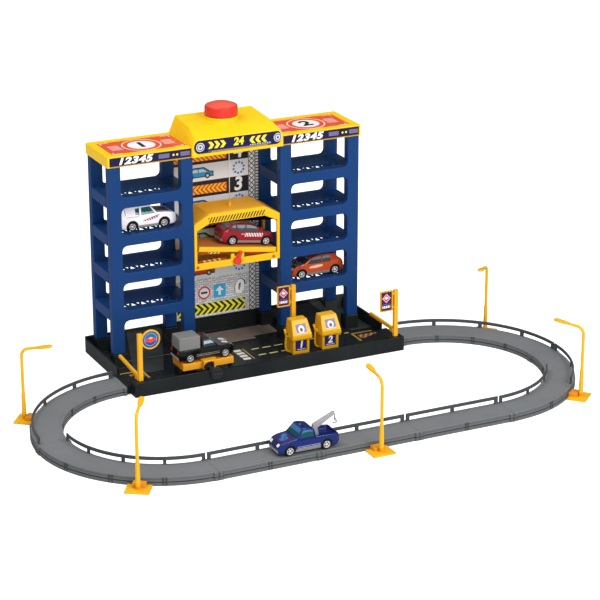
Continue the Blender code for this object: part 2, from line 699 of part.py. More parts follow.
def lift_front():
    """The yellow front frame of the lift, with sloping shoulders, sill, hub and lever hole."""
    low, high = CAGE_BASE, CAGE_BASE + CAGE_H
    x0, x1 = CAGE_X - CAGE_HALF, CAGE_X + CAGE_HALF
    wall, bar = CAGE_POST, CAGE_TOP_BAR
    inner = [(x0 + wall, low + CAGE_SILL), (x1 - wall, low + CAGE_SILL),
             (x1 - wall, high - CAGE_SHOULDER - bar * 0.7),
             (x1 - CAGE_SHOULDER_W, high - bar), (x0 + CAGE_SHOULDER_W, high - bar),
             (x0 + wall, high - CAGE_SHOULDER - bar * 0.7)]
    back = CAGE_FRONT + CAGE_FACE_T
    frame = cut(slab(cage_outline(), "XZ", CAGE_FRONT, back), slab(inner, "XZ", CAGE_FRONT - MM, back + MM))
    hub_top = low + TRAY_PIVOT + TRAY_TOP - LIP_H - GAP - HUB_W / 2 * math.tan(TRAY_TILT)
    hub = box((CAGE_X - HUB_W / 2, CAGE_FRONT, low + CAGE_SILL / 2), (CAGE_X + HUB_W / 2, back, hub_top))
    frame = join(frame, hub)
    lever_x = CAGE_X + LEVER_OFFSET
    hole = rod((lever_x, CAGE_FRONT - MM, low + LEVER_Z), (lever_x, back + MM, low + LEVER_Z),
               LEVER_SHAFT_R + GAP, 12)
    frame = cut(frame, hole)
    finish(frame, "lift_front", material("yellow lift front", YELLOW, 0.35))


def lift_cage():
    """The orange body of the lift: a ring of floor, walls and roof, open at both sides, with a saddle."""
    low, high = CAGE_BASE, CAGE_BASE + CAGE_H
    x0, x1 = CAGE_X - CAGE_HALF, CAGE_X + CAGE_HALF
    front, back = CAGE_FRONT + CAGE_FACE_T + GAP, CAGE_FRONT + CAGE_D
    wall = CAGE_POST * 0.7
    eaves = high - CAGE_SHOULDER - CAGE_ROOF_T
    corner = eaves + wall * CAGE_SHOULDER / CAGE_SHOULDER_W
    inner = [(x0 + wall, low + CAGE_FLOOR_T), (x1 - wall, low + CAGE_FLOOR_T), (x1 - wall, corner),
             (x1 - CAGE_SHOULDER_W, high - CAGE_ROOF_T), (x0 + CAGE_SHOULDER_W, high - CAGE_ROOF_T),
             (x0 + wall, corner)]
    cage = cut(slab(cage_outline(), "XZ", front, back), slab(inner, "XZ", front - MM, back + MM))
    ways = [box((min(edge, inside), front + wall, low + CAGE_FLOOR_T + GAP),
                (max(edge, inside), back - CAGE_POST, eaves))
            for edge, inside in ((x0 - MM, x0 + wall + MM), (x1 + MM, x1 - wall - MM))]
    cage = cut(cage, *ways)
    saddle_top = low + TRAY_PIVOT + TRAY_RIB_R * 0.4
    saddle = box((CAGE_X - 4 * MM, front + 4 * MM, low + CAGE_FLOOR_T / 2),
                 (CAGE_X + 4 * MM, back - 4 * MM, saddle_top))
    eyelet = rod((CAGE_X, STRING_Y, high - CAGE_ROOF_T / 2), (CAGE_X, STRING_Y, high + EYELET_H),
                 EYELET_R, 12)
    cage = join(cage, saddle, eyelet)
    groove = rod((CAGE_X, front, low + TRAY_PIVOT), (CAGE_X, back, low + TRAY_PIVOT), TRAY_RIB_R + GAP, 16)
    cage = cut(cage, groove)
    finish(cage, "lift_cage", material("orange lift body", AMBER, 0.4))


def lift_tray():
    """The tilting floor of the lift, on a round rib that rocks in the cage's saddle."""
    pivot = (CAGE_X, CAGE_FRONT, CAGE_BASE + TRAY_PIVOT)
    top = pivot[2] + TRAY_TOP
    front = CAGE_FRONT + CAGE_FACE_T + 2 * GAP + CAGE_POST
    back = CAGE_FRONT + CAGE_D - CAGE_POST - 2 * GAP
    tray = box((CAGE_X - TRAY_L / 2, CAGE_FRONT, top - TRAY_T), (CAGE_X + TRAY_L / 2, back, top))
    lip = box((CAGE_X - TRAY_L / 2, CAGE_FRONT, top - LIP_H),
              (CAGE_X + TRAY_L / 2, CAGE_FRONT + CAGE_FACE_T, top + 0.4 * MM))
    web = box((CAGE_X - TRAY_RIB_R * 0.6, front, pivot[2]), (CAGE_X + TRAY_RIB_R * 0.6, back, top - MM))
    rib = rod((CAGE_X, front, pivot[2]), (CAGE_X, back, pivot[2]), TRAY_RIB_R, 16)
    tray = join(tray, lip, web, rib)
    tray = turned(tray, pivot, "Y", TRAY_TILT)
    finish(tray, "lift_tray", material("yellow tray", YELLOW, 0.4), pivot)


def tray_lever():
    """The red lever on the lift's front, with its shaft through the hub."""
    pivot = (CAGE_X + LEVER_OFFSET, CAGE_FRONT, CAGE_BASE + LEVER_Z)
    face = CAGE_FRONT - GAP
    arm_front = face - LEVER_T
    arm = box((pivot[0] - LEVER_W / 2, arm_front, pivot[2] - LEVER_KNOB_AT),
              (pivot[0] + LEVER_W / 2, face, pivot[2] + LEVER_TIP_AT))
    knob = rod((pivot[0], arm_front - MM, pivot[2] - LEVER_KNOB_AT),
               (pivot[0], face, pivot[2] - LEVER_KNOB_AT), LEVER_KNOB_R, 16)
    shaft = rod((pivot[0], face - MM, pivot[2]),
                (pivot[0], CAGE_FRONT + CAGE_FACE_T + 2.5 * MM, pivot[2]), LEVER_SHAFT_R, 12)
    lever = join(arm, knob, shaft)
    lever = turned(lever, pivot, "Y", LEVER_ANGLE)
    finish(lever, "tray_lever", material("red lever", RED, 0.3), pivot)


def service_yard():
    """The rising platform, its yoke, and the knob in the front rim whose pin lifts it."""
    x0, x1 = PLAT_X - PLAT_W / 2, PLAT_X + PLAT_W / 2
    back = PLAT_FRONT + PLAT_D
    plate = box((x0, PLAT_FRONT, PLAT_FOOT), (x1, back, PLAT_FOOT + PLAT_T))
    hollow = box((x0 + PLAT_WALL, PLAT_FRONT + PLAT_WALL, PLAT_FOOT - MM),
                 (x1 - PLAT_WALL, back - PLAT_WALL, PLAT_FOOT + PLAT_T - PLAT_WALL))
    yoke_left = KNOB2_X - YOKE_W * 0.4
    yoke = box((yoke_left, PLAT_FRONT - YOKE_D, PLAT_FOOT), (yoke_left + YOKE_W, PLAT_FRONT + MM,
                                                             PLAT_FOOT + YOKE_H))
    plate = join(cut(plate, hollow), yoke)
    pin_x = KNOB2_X + CRANK_R * math.cos(CRANK_ANGLE)
    pin_z = KNOB2_Z + CRANK_R * math.sin(CRANK_ANGLE)
    room = CRANK_PIN_R + RUN_GAP
    slot = box((pin_x - room, PLAT_FRONT - YOKE_D - MM, pin_z - room),
               (KNOB2_X + CRANK_R + room, PLAT_FRONT - YOKE_D + 4 * MM, pin_z + room))
    plate = cut(plate, slot)
    finish(plate, "service_platform", material("orange platform", AMBER, 0.35))

    disc = rod((KNOB2_X, -GAP - KNOB2_T, KNOB2_Z), (KNOB2_X, -GAP, KNOB2_Z), KNOB2_R, 24)
    shaft_end = PLAT_FRONT - YOKE_D - RUN_GAP
    shaft = rod((KNOB2_X, -2 * GAP, KNOB2_Z), (KNOB2_X, shaft_end, KNOB2_Z), KNOB2_SHAFT_R, 16)
    cheek = rod((KNOB2_X, shaft_end - CRANK_T, KNOB2_Z), (KNOB2_X, shaft_end, KNOB2_Z),
                CRANK_R + CRANK_PIN_R, 16)
    pin = rod((pin_x, shaft_end - CRANK_T / 2, pin_z), (pin_x, shaft_end + 3 * MM, pin_z), CRANK_PIN_R, 12)
    knob = join(disc, shaft, cheek, pin)
    finish(knob, "service_knob", material("grey knob", (0.30, 0.31, 0.33), 0.4),
           (KNOB2_X, 0, KNOB2_Z))


def sign_board(post_left, y, top):
    """A board with a shallow field for its print, on two arms from the post's left side."""
    right, foot = post_left - BOARD_OFF, top - BOARD_H
    board = slab(rounded((right - BOARD_W, foot), (right, top), 1.6 * MM), "XZ",
                 y - BOARD_T / 2, y + BOARD_T / 2)
    edge = 1.3 * MM
    field = box((right - BOARD_W + edge, y - BOARD_T, foot + edge),
                (right - edge, y - BOARD_T / 2 + 0.5 * MM, top - edge))
    board = cut(board, field)
    arms = [box((right - 0.8 * MM, y - BOARD_T / 3, z), (post_left + MM, y + BOARD_T / 3, z + ARM_H))
            for z in (foot + ARM_H, top - 2 * ARM_H)]
    return join(board, *arms)


def barrier(side):
    """A barrier post with its sign, and the boom that closes the port."""
    way = -1 if side == "left" else 1
    x, top = way * (BASE_W / 2 - POST_INSET), POST_TOP[side]
    foot = RIM_H + GAP
    half = POST_SIDE / 2
    post = box((x - half, POST_Y - POST_DEPTH / 2, foot), (x + half, POST_Y + POST_DEPTH / 2, top))
    pivot_z = BOOM_Z[side]
    cheek = BOOM_W / 2 + GAP + EAR_T
    ears = box((x - cheek, POST_Y, pivot_z - BOOM_HUB_R), (x + cheek, BOOM_Y + BOOM_HUB_R,
                                                          pivot_z + BOOM_HUB_R))
    if side == "left":
        centre = (x + half + DISC_R - 1.2 * MM, top - DISC_DROP)
        front = POST_Y - BOARD_T / 2
        board = rod((centre[0], front, centre[1]), (centre[0], front + BOARD_T, centre[1]), DISC_R, 24)
        field = rod((centre[0], front - MM, centre[1]), (centre[0], front + 0.5 * MM, centre[1]),
                    DISC_R - 1.6 * MM, 24)
        board = cut(board, field)
    else:
        board = sign_board(x - half, POST_Y, top)
    post = join(post, ears, board)
    slot = box((x - BOOM_W / 2 - GAP, POST_Y + POST_DEPTH / 2 + 2 * GAP, pivot_z - 2 * BOOM_HUB_R),
               (x + BOOM_W / 2 + GAP, BOOM_Y + 2 * BOOM_HUB_R, pivot_z + 2 * BOOM_HUB_R))
    hole = rod((x - 2 * cheek, BOOM_Y, pivot_z), (x + 2 * cheek, BOOM_Y, pivot_z), 0.9 * MM + GAP, 12)
    post = cut(post, slot, hole)
    finish(post, f"{side}_barrier_post", material(f"amber post {side}", AMBER, 0.35))

    pivot = (x, BOOM_Y, pivot_z)
    hub = rod((x - BOOM_W / 2, BOOM_Y, pivot_z), (x + BOOM_W / 2, BOOM_Y, pivot_z), BOOM_HUB_R - GAP, 16)
    bar = box((x - BOOM_W / 2, BOOM_Y, pivot_z - BOOM_H / 2),
              (x + BOOM_W / 2, BOOM_Y + BOOM_L, pivot_z + BOOM_H / 2))
    pin = rod((x - cheek, BOOM_Y, pivot_z), (x + cheek, BOOM_Y, pivot_z), 0.9 * MM, 12)
    boom = turned(join(hub, bar, pin), pivot, "X", BOOM_LIFT[side])
    finish(boom, f"{side}_barrier_boom", material(f"amber boom {side}", AMBER, 0.35), pivot)


def yard_sign():
    """The sign post behind the fuel pumps."""
    half = POST_SIDE / 2
    x, y, top = YARD_SIGN_X, YARD_SIGN_Y, YARD_SIGN_TOP
    post = box((x - half, y - POST_DEPTH / 2, FLOOR_T + GAP), (x + half, y + POST_DEPTH / 2, top))
    foot = box((x - 2.5 * half, y - 1.4 * POST_DEPTH, FLOOR_T + GAP),
               (x + 2.5 * half, y + 1.4 * POST_DEPTH, FLOOR_T + GAP + 2 * MM))
    board = sign_board(x - half, y, top)
    finish(join(post, foot, board), "pump_sign_post", material("amber sign post", AMBER, 0.35))


def fuel_pump(number):
    """A fuel pump: body, sloping head that narrows upwards, and the hose moulded on its left side."""
    x = PUMP_X[number]
    foot = FLOOR_T + GAP
    y0, y1 = PUMP_Y, PUMP_Y + PUMP_D
    body = box((x - PUMP_W / 2, y0, foot), (x + PUMP_W / 2, y1, foot + PUMP_BODY_H + MM))
    low, high = foot + PUMP_BODY_H, foot + PUMP_BODY_H + PUMP_HEAD_H
    head = [(y0 - PUMP_HEAD_OUT, low), (y1, low), (y1, high), (y0 + 0.3 * PUMP_D, high),
            (y0 - PUMP_HEAD_OUT, low + 0.25 * PUMP_HEAD_H)]
    head = slab(head, "YZ", x - PUMP_HEAD_W / 2, x + PUMP_HEAD_W / 2)
    for vert in head.data.vertices:
        rise = (vert.co.z - low) / PUMP_HEAD_H
        vert.co.x = x + (vert.co.x - x) * (1 - rise * (1 - PUMP_CROWN_W / PUMP_HEAD_W))
    field = box((x - PUMP_W / 2 + 3 * MM, y0 - MM, foot + 4 * MM),
                (x + PUMP_W / 2 - 3 * MM, y0 + 0.5 * MM, foot + PUMP_BODY_H - 2 * MM))
    pump = cut(join(body, head), field)
    side = x - PUMP_HEAD_W / 2 - HOSE_OUT
    middle = (y0 + y1) / 2
    hose = [(side - 2 * MM, middle, low + 12 * MM), (side - MM, middle, low + 8 * MM),
            (side + 0.6 * MM, middle, low + 4 * MM), (side, middle, low),
            (side - 0.6 * MM, middle, foot + 13 * MM),
            (side - 0.4 * MM, middle, foot + 8 * MM), (side + 0.8 * MM, middle, foot + 4 * MM),
            (side + 3 * MM, middle, foot + 2 * MM), (x - PUMP_W / 2 + MM, middle, foot + 1.6 * MM)]
    thick = [1.15 * HOSE_R, 1.15 * HOSE_R, 1.3 * HOSE_R] + [HOSE_R] * (len(hose) - 3)
    holster = box((side - 0.4 * MM, middle - 1.5 * MM, low + 2.2 * MM),
                  (x - PUMP_HEAD_W / 2 + 2 * MM, middle + 1.5 * MM, low + 5.6 * MM))
    pump = join(pump, tube(hose, thick, 1), holster)
    finish(pump, f"fuel_pump_{number + 1}", material(f"amber pump {number + 1}", AMBER, 0.35))


def track_section():
    """The channel section of the track, as points across the road and up."""
    half = ROAD_W / 2
    foot = half + FOOT_OUT
    wall = TRACK_WALL
    groove_top = GROOVE_Z + GROOVE_H
    outer = [(foot, 0.0), (foot, GROOVE_Z), (foot - GROOVE_D, GROOVE_Z), (foot - GROOVE_D, groove_top),
             (foot, groove_top), (half, ROAD_Z)]
    inner = [(half - wall, ROAD_Z - ROAD_T), (half - wall, 0.0)]
    mirror = [(-u, v) for u, v in outer]
    mirror_inner = [(-u, v) for u, v in inner]
    return outer + mirror[::-1] + mirror_inner[::-1] + inner


def swept(section, centre, radius, first, last, steps):
    """A section swept round a centre, from one angle in degrees to another, with closed ends."""
    bm = bmesh.new()
    start = math.radians(first)
    way = Vector((math.cos(start), math.sin(start), 0))
    middle = Vector((centre[0], centre[1], 0))
    verts = [bm.verts.new(middle + way * (radius + u) + Vector((0, 0, v))) for u, v in section]
    edges = [bm.edges.new((a, b)) for a, b in zip(verts, verts[1:] + verts[:1])]
    bmesh.ops.spin(bm, geom=verts + edges, cent=middle, axis=(0, 0, 1),
                   angle=math.radians(last - first), steps=steps)
    ends = [e for e in bm.edges if e.is_boundary]
    bmesh.ops.holes_fill(bm, edges=ends, sides=0)
    return put_mesh("swept", bm)


def rail_section(across):
    """The guard rail's strip, across the road from its middle line."""
    low = ROAD_Z + RAIL_TOP - RAIL_H
    edges = sorted((across - RAIL_T / 2, across + RAIL_T / 2))
    return [(edges[0], low), (edges[1], low), (edges[1], ROAD_Z + RAIL_TOP), (edges[0], ROAD_Z + RAIL_TOP)]


def braces(walls):
    """Pairs of upright ribs on the walls of a piece whose road's middle line is x = 0, at y = 0."""
    ribs = []
    for wall in walls:
        near, far = sorted((wall * (ROAD_W / 2 - MM), wall * (ROAD_W / 2 + FOOT_OUT + BRACE_OUT)))
        for way in (-1, 1):
            middle = way * BRACE_PITCH / 2
            ribs.append(box((near, middle - BRACE_W / 2, BRACE_LOW), (far, middle + BRACE_W / 2, BRACE_HIGH)))
    return ribs


def carried(pieces, turn, radius, centre):
    """The pieces, carried out to a radius and turned about a centre."""
    for piece in pieces:
        piece.data.transform(Matrix.Translation((centre[0], centre[1], 0)) @ Matrix.Rotation(turn, 4, "Z")
                             @ Matrix.Translation((radius, 0, 0)))
    return pieces


def rail_post():
    """A guard rail's post, upright at the origin."""
    return box((-RAIL_T / 2, -RAIL_POST / 2, ROAD_Z - ROAD_T / 2),
               (RAIL_T / 2, RAIL_POST / 2, ROAD_Z + RAIL_TOP - RAIL_H / 2))


def curve_track(name, side, first, last, rails):
    """A quarter of the loop, with its guard rails, clips, rail posts and wall ribs."""
    centre = (side * ARC_X, ARC_Y)
    play = math.degrees(GAP / 2 / ARC_R)
    piece = swept(track_section(), centre, ARC_R, first + play, last - play, ARC_STEPS)
    added = []
    rim = ROAD_W / 2 - RAIL_T
    inner_stops = [first + (last - first) * share for share in BRACE_SHARES]
    for across, rail_first, rail_last in rails:
        radius = ARC_R + across * rim
        margin = math.degrees(RAIL_END / radius)
        begin, end = rail_first + margin, rail_last - margin
        steps = max(3, round(ARC_STEPS * (end - begin) / 90))
        added.append(swept(rail_section(across * rim), centre, ARC_R, begin, end, steps))
        half_post = math.degrees(RAIL_POST / 2 / radius)
        stops = [begin + half_post, end - half_post]
        stops += [stop for stop in inner_stops if begin + 4 * half_post < stop < end - 4 * half_post]
        for stop in stops:
            added += carried([rail_post()], math.radians(stop), radius, centre)
    lamps = [LAMP_ANGLES[letter] for letter in ("ab" if side < 0 else "de")]
    clear = math.degrees((LAMP_CLIP_W / 2 + BRACE_PITCH) / ARC_R)
    for stop in inner_stops:
        walls = [-1] if min(abs(stop - lamp) for lamp in lamps) < clear else [-1, 1]
        added += carried(braces(walls), math.radians(stop), ARC_R, centre)
    near, far = ROAD_W / 2 - CLIP_IN, ROAD_W / 2 + FOOT_OUT + CLIP_OUT
    for edge, inward in ((first, 1), (last, -1)):
        span = math.degrees(CLIP_L / (ARC_R + ROAD_W / 2))
        low, high = sorted((edge + inward * play, edge + inward * (span + play)))
        for inner, outer in ((near, far), (-far, -near)):
            added.append(swept([(inner, 0.0), (outer, 0.0), (outer, BRACE_HIGH), (inner, BRACE_HIGH)],
                               centre, ARC_R, low, high, 1))
    piece = join(piece, *added)
    finish(piece, name, material(f"grey {name}", GREY, 0.55))


def straight_track(name, x0, x1):
    """A straight of the loop's front side, with its guard rail on the garage's side and wall ribs."""
    y = ARC_Y - ARC_R
    section = [(y - u, v) for u, v in track_section()]
    piece = slab(section, "YZ", x0 + GAP / 2, x1 - GAP / 2)
    rim = y + ROAD_W / 2 - RAIL_T
    rail = [(rim - RAIL_T / 2 + (u > 0) * RAIL_T, v) for u, v in rail_section(0.0)]
    added = [slab(rail, "YZ", x0 + RAIL_END, x1 - RAIL_END)]
    quarter = math.pi / 2
    for stop in (x0 + RAIL_END + RAIL_POST / 2, (x0 + x1) / 2, x1 - RAIL_END - RAIL_POST / 2):
        added += carried([rail_post()], quarter, 0.0, (stop, rim))
    walls = [1] if abs((x0 + x1) / 2 - LAMP_C_X) < LAMP_CLIP_W / 2 + BRACE_PITCH else [-1, 1]
    added += carried(braces(walls), quarter, 0.0, ((x0 + x1) / 2, y))
    near, far = ROAD_W / 2 - CLIP_IN, ROAD_W / 2 + FOOT_OUT + CLIP_OUT
    for start, end in ((x0 + GAP / 2, x0 + CLIP_L), (x1 - CLIP_L, x1 - GAP / 2)):
        for inner, outer in ((near, far), (-far, -near)):
            added.append(box((start, y + inner, 0.0), (end, y + outer, BRACE_HIGH)))
    finish(join(piece, *added), name, material(f"grey {name}", GREY, 0.55))


def street_lamp(letter, foot, heading):
    """A street lamp: plate with a clip towards the track, tapering post, arm and flat head."""
    plate = box((-LAMP_BASE_D + LAMP_EDGE - GAP, -LAMP_BASE_W / 2, 0), (LAMP_EDGE - GAP, LAMP_BASE_W / 2,
                                                                       LAMP_BASE_T))
    clip = box((LAMP_POST_R, -LAMP_CLIP_W / 2, LAMP_BASE_T / 2),
               (LAMP_EDGE - GAP, LAMP_CLIP_W / 2, LAMP_CLIP_H))
    route = [(0, 0, LAMP_BASE_T / 2), (0, 0, LAMP_NECK_Z), (0, 0, LAMP_NECK_Z + 4 * MM)]
    radii = [LAMP_POST_R, LAMP_POST_R * 0.85, LAMP_NECK_R]
    bend = 9 * MM
    slope = math.atan2(LAMP_RISE, LAMP_REACH)
    for k in range(6):
        turn = (math.pi / 2 - slope) * k / 5
        route.append((bend * (1 - math.cos(turn)), 0, LAMP_TOP - bend + bend * math.sin(turn)))
        radii.append(LAMP_NECK_R)
    tip = Vector(route[-1])
    arm = Vector((math.cos(slope), 0, math.sin(slope)))
    neck = tip + arm * (LAMP_REACH - LAMP_HEAD_L - bend)
    route.append(tuple(neck))
    radii.append(LAMP_NECK_R * 0.9)
    lamp = join(tube(route, radii, 2), plate, clip)
    half = LAMP_HEAD_W / 2
    outline = [(-MM, -LAMP_NECK_R * 0.7), (0.35 * LAMP_HEAD_L, -half), (0.85 * LAMP_HEAD_L, -half),
               (LAMP_HEAD_L, -half * 0.5), (LAMP_HEAD_L, half * 0.5), (0.85 * LAMP_HEAD_L, half),
               (0.35 * LAMP_HEAD_L, half), (-MM, LAMP_NECK_R * 0.7)]
    head = slab(outline, "XY", -LAMP_HEAD_T / 2, LAMP_HEAD_T / 2)
    head.data.transform(Matrix.Translation(neck) @ Matrix.Rotation(-slope, 4, "Y"))
    lamp = join(lamp, head)
    lamp.data.transform(Matrix.Translation((*foot, 0)) @ Matrix.Rotation(heading, 4, "Z"))
    finish(lamp, f"street_lamp_{letter}", material(f"amber lamp {letter}", AMBER, 0.35))


def car(name, profile, colour, near, ground, wheels, extra=(), tilt=None):
    """A toy car along X: a body from its side profile, with wheel wells, and two wheel pairs."""
    y0, y1 = near + CAR_INSET, near + CAR_W - CAR_INSET
    body = slab([(x, ground + z) for x, z in profile], "XZ", y0, y1)
    belt = ground + CAR_BELT
    bm = bmesh.new()
    bm.from_mesh(body.data)
    planes = []
    for side, edge in ((-1, y0), (1, y1)):
        planes.append(((0, edge, belt), (0, side * CABIN_H, CABIN_IN)))
        for end, x in ((-1, min(x for x, z in profile)), (1, max(x for x, z in profile))):
            planes.append(((x, edge - side * CAR_TAPER_W, 0), (end * CAR_TAPER_W, side * CAR_TAPER_L, 0)))
    for point, normal in planes:
        result = bmesh.ops.bisect_plane(bm, geom=bm.verts[:] + bm.edges[:] + bm.faces[:], dist=1e-7,
                                        plane_co=point, plane_no=Vector(normal).normalized(),
                                        clear_outer=True)
        rim = [e for e in result["geom_cut"] if isinstance(e, bmesh.types.BMEdge)]
        bmesh.ops.holes_fill(bm, edges=rim, sides=0)
    bm.to_mesh(body.data)
    bm.free()
    if extra:
        body = join(body, *extra)
    axle_z = ground + WHEEL_R
    tools = []
    for x in wheels:
        for low, high in ((y0 - MM, near + WHEEL_T + WELL_GAP), (y1 + MM, near + CAR_W - WHEEL_T - WELL_GAP)):
            tools.append(rod((x, low, axle_z), (x, high, axle_z), WHEEL_R + WELL_GAP, 14))
        tools.append(rod((x, y0 - MM, axle_z), (x, y1 + MM, axle_z), AXLE_R + GAP, 8))
    body = cut(body, *tools)
    pairs = []
    for x in wheels:
        axle = rod((x, near + MM, axle_z), (x, near + CAR_W - MM, axle_z), AXLE_R, 8)
        tyres = [rod((x, y, axle_z), (x, y + WHEEL_T, axle_z), WHEEL_R, 14)
                 for y in (near, near + CAR_W - WHEEL_T)]
        pairs.append(join(axle, *tyres))
    middle = ((wheels[0] + wheels[1]) / 2, near + CAR_W / 2, axle_z)
    solids = [(body, f"{name}_body", colour, 0.25, middle)]
    for pair, x, end in zip(pairs, wheels, ("left", "right")):
        solids.append((pair, f"{name}_{end}_wheels", (0.03, 0.03, 0.03), 0.6, (x, middle[1], axle_z)))
    for solid, label, shade, rough, origin in solids:
        if tilt:
            solid = turned(solid, tilt[0], "Y", tilt[1])
            spin = Matrix.Rotation(tilt[1], 4, "Y")
            origin = Vector(tilt[0]) + spin @ (Vector(origin) - Vector(tilt[0]))
        finish(solid, label, material(label.replace("_", " "), shade, rough), tuple(origin))


def shifted(profile, x, flip=False):
    """A side profile moved to a place, and turned to face left if asked."""
    way = -1 if flip else 1
    return [(x + way * u, v) for u, v in profile]


# Side profiles of the cars: metres to the right of the middle, with the nose to the right, and
# over the road.
HATCH = [(-0.0330, 0.0050), (-0.0335, 0.0120), (-0.0310, 0.0170), (-0.0275, 0.0190),
         (-0.0220, 0.0250), (-0.0060, 0.0260), (0.0080, 0.0235), (0.0180, 0.0175),
         (0.0310, 0.0140), (0.0335, 0.0100), (0.0335, 0.0040), (0.0310, CAR_FLOOR), (-0.0310, CAR_FLOOR)]
OFFROAD = [(-0.0345, 0.0050), (-0.0345, 0.0140), (-0.0330, 0.0260), (-0.0310, 0.0280),
           (0.0020, 0.0280), (0.0100, 0.0185), (0.0300, 0.0165), (0.0335, 0.0130),
           (0.0345, 0.0045), (0.0320, CAR_FLOOR), (-0.0320, CAR_FLOOR)]
PICKUP = [(-0.0340, 0.0050), (-0.0345, 0.0090), (-0.0330, 0.0155), (-0.0060, 0.0155),
          (-0.0050, 0.0245), (0.0070, 0.0245), (0.0140, 0.0165), (0.0320, 0.0140),
          (0.0345, 0.0100), (0.0345, 0.0050), (0.0320, CAR_FLOOR), (-0.0320, CAR_FLOOR)]
TOW = [(-0.0355, 0.0050), (-0.0355, 0.0130), (-0.0330, 0.0160), (-0.0080, 0.0165),
       (-0.0060, 0.0250), (0.0030, 0.0275), (0.0070, 0.0275), (0.0150, 0.0175),
       (0.0320, 0.0140), (0.0355, 0.0100), (0.0355, 0.0045), (0.0330, CAR_FLOOR), (-0.0330, CAR_FLOOR)]
CARGO = ((-0.0330, 0.0150), (-0.0070, 0.0300))
MAST = [(0.0085, 0.0140), (0.0165, 0.0140), (0.0145, 0.0210), (0.0355, 0.0340), (0.0340, 0.0355),
        (0.0095, 0.0245)]
HOOK = [(0.0343, 0.0350), (0.0355, 0.0300), (0.0360, 0.0250), (0.0380, 0.0234), (0.0360, 0.0215),
        (0.0337, 0.0226)]

# Where each car's two axles are, to the right of its middle.
OFFROADER_AXLES = (-0.0205, 0.0185)
ORANGE_HATCH_AXLES = (-0.0225, 0.0215)
RED_HATCH_AXLES = (-0.0200, 0.0235)
PICKUP_AXLES = (-0.0205, 0.0230)
TOW_TRUCK_AXLES = (-0.0225, 0.0200)


def cars():
    """The five toy cars, each where the photograph has it."""
    deck2, deck3 = beam_foot(0) + BEAM_H, beam_foot(2) + BEAM_H
    x = TOWER_X["left"] + OFFROADER_AT
    car("offroader", shifted(OFFROAD, x), (0.75, 0.75, 0.77), PARK_Y, deck3 + GAP,
        [x + u for u in OFFROADER_AXLES])
    x = TOWER_X["right"] + ORANGE_HATCH_AT
    car("orange_hatch", shifted(HATCH, x, True), (0.75, 0.13, 0.03), PARK_Y, deck2 + GAP,
        [x + u for u in ORANGE_HATCH_AXLES])
    pivot = (CAGE_X, CAGE_FRONT, CAGE_BASE + TRAY_PIVOT)
    x = CAGE_X + TRAY_L / 2 - RED_HATCH_END
    car("red_hatch", shifted(HATCH, x), (0.45, 0.01, 0.02), CAGE_FRONT + RED_HATCH_IN,
        pivot[2] + TRAY_TOP + GAP, [x + u for u in RED_HATCH_AXLES], tilt=(pivot, TRAY_TILT))
    x, top = PLAT_X + PICKUP_AT, PLAT_FOOT + PLAT_T + GAP
    near = PLAT_FRONT + PICKUP_IN
    low, high = CARGO
    cargo = box((x + low[0], near + CARGO_IN, top + low[1]),
                (x + high[0], near + CAR_W - CARGO_IN, top + high[1]))
    car("pickup", shifted(PICKUP, x), (0.03, 0.04, 0.04), near, top, [x + u for u in PICKUP_AXLES],
        extra=(cargo,))
    x, road = TOW_TRUCK_X, ROAD_Z + GAP
    near = ARC_Y - ARC_R - ROAD_W / 2 + TOW_TRUCK_IN
    middle = near + CAR_W / 2
    mast = slab([(x + u, road + v) for u, v in MAST], "XZ", middle - MAST_W / 2, middle + MAST_W / 2)
    hook = tube([(x + u, middle, road + v) for u, v in HOOK], [HOOK_R] * len(HOOK), 1)
    car("tow_truck", shifted(TOW, x, True), (0.03, 0.05, 0.35), near, road,
        [x + u for u in TOW_TRUCK_AXLES], extra=(mast, hook))


def assemble():
    """Makes every piece of the garage."""
    base_tray()
    for side in ("left", "right"):
        tower_frame(side, "front", TOWER_FRONT)
        tower_frame(side, "rear", TOWER_BACK - FRAME_D)
        for level in range(LEVELS):
            tower_deck(side, level)
        tower_roof(side)
        barrier(side)
    lift_hood()
    winch()
    hoist_string()
    shaft_panel()
    lift_front()
    lift_cage()
    lift_tray()
    tray_lever()
    service_yard()
    yard_sign()
    for number in (0, 1):
        fuel_pump(number)
    lamp_angle = LAMP_ANGLES["d"]
    by_port = math.degrees(RAIL_PORT / ARC_R)
    curve_track("track_curve_1", -1, 90, 180, ((1, 90 + by_port, 180),))
    curve_track("track_curve_2", -1, 180, 270, ((-1, 180, 270),))
    straight = 2 * ARC_X / 3
    for i in range(3):
        straight_track(f"track_straight_{i + 1}", -ARC_X + i * straight, -ARC_X + (i + 1) * straight)
    curve_track("track_curve_3", 1, -90, 0, ((-1, -90, RAIL_STOP), (1, lamp_angle + 4, 0)))
    curve_track("track_curve_4", 1, 0, 90, ((1, 0, 90 - by_port),))
    post_r = ARC_R + ROAD_W / 2 + FOOT_OUT + LAMP_EDGE
    for letter, degrees in LAMP_ANGLES.items():
        side = -1 if letter in "ab" else 1
        angle = math.radians(degrees)
        foot = (side * ARC_X + post_r * math.cos(angle), ARC_Y + post_r * math.sin(angle))
        street_lamp(letter, foot, angle + math.pi)
    street_lamp("c", (LAMP_C_X, ARC_Y - post_r), math.pi / 2)
    cars()
    bpy.data.collections.remove(workshop)


assemble()
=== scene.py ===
import json
from functools import partialmethod
from math import asin, cos, pi, radians, sin

import bmesh
import bpy
from bmesh import ops
from mathutils import Matrix, Vector
from mathutils.kdtree import KDTree

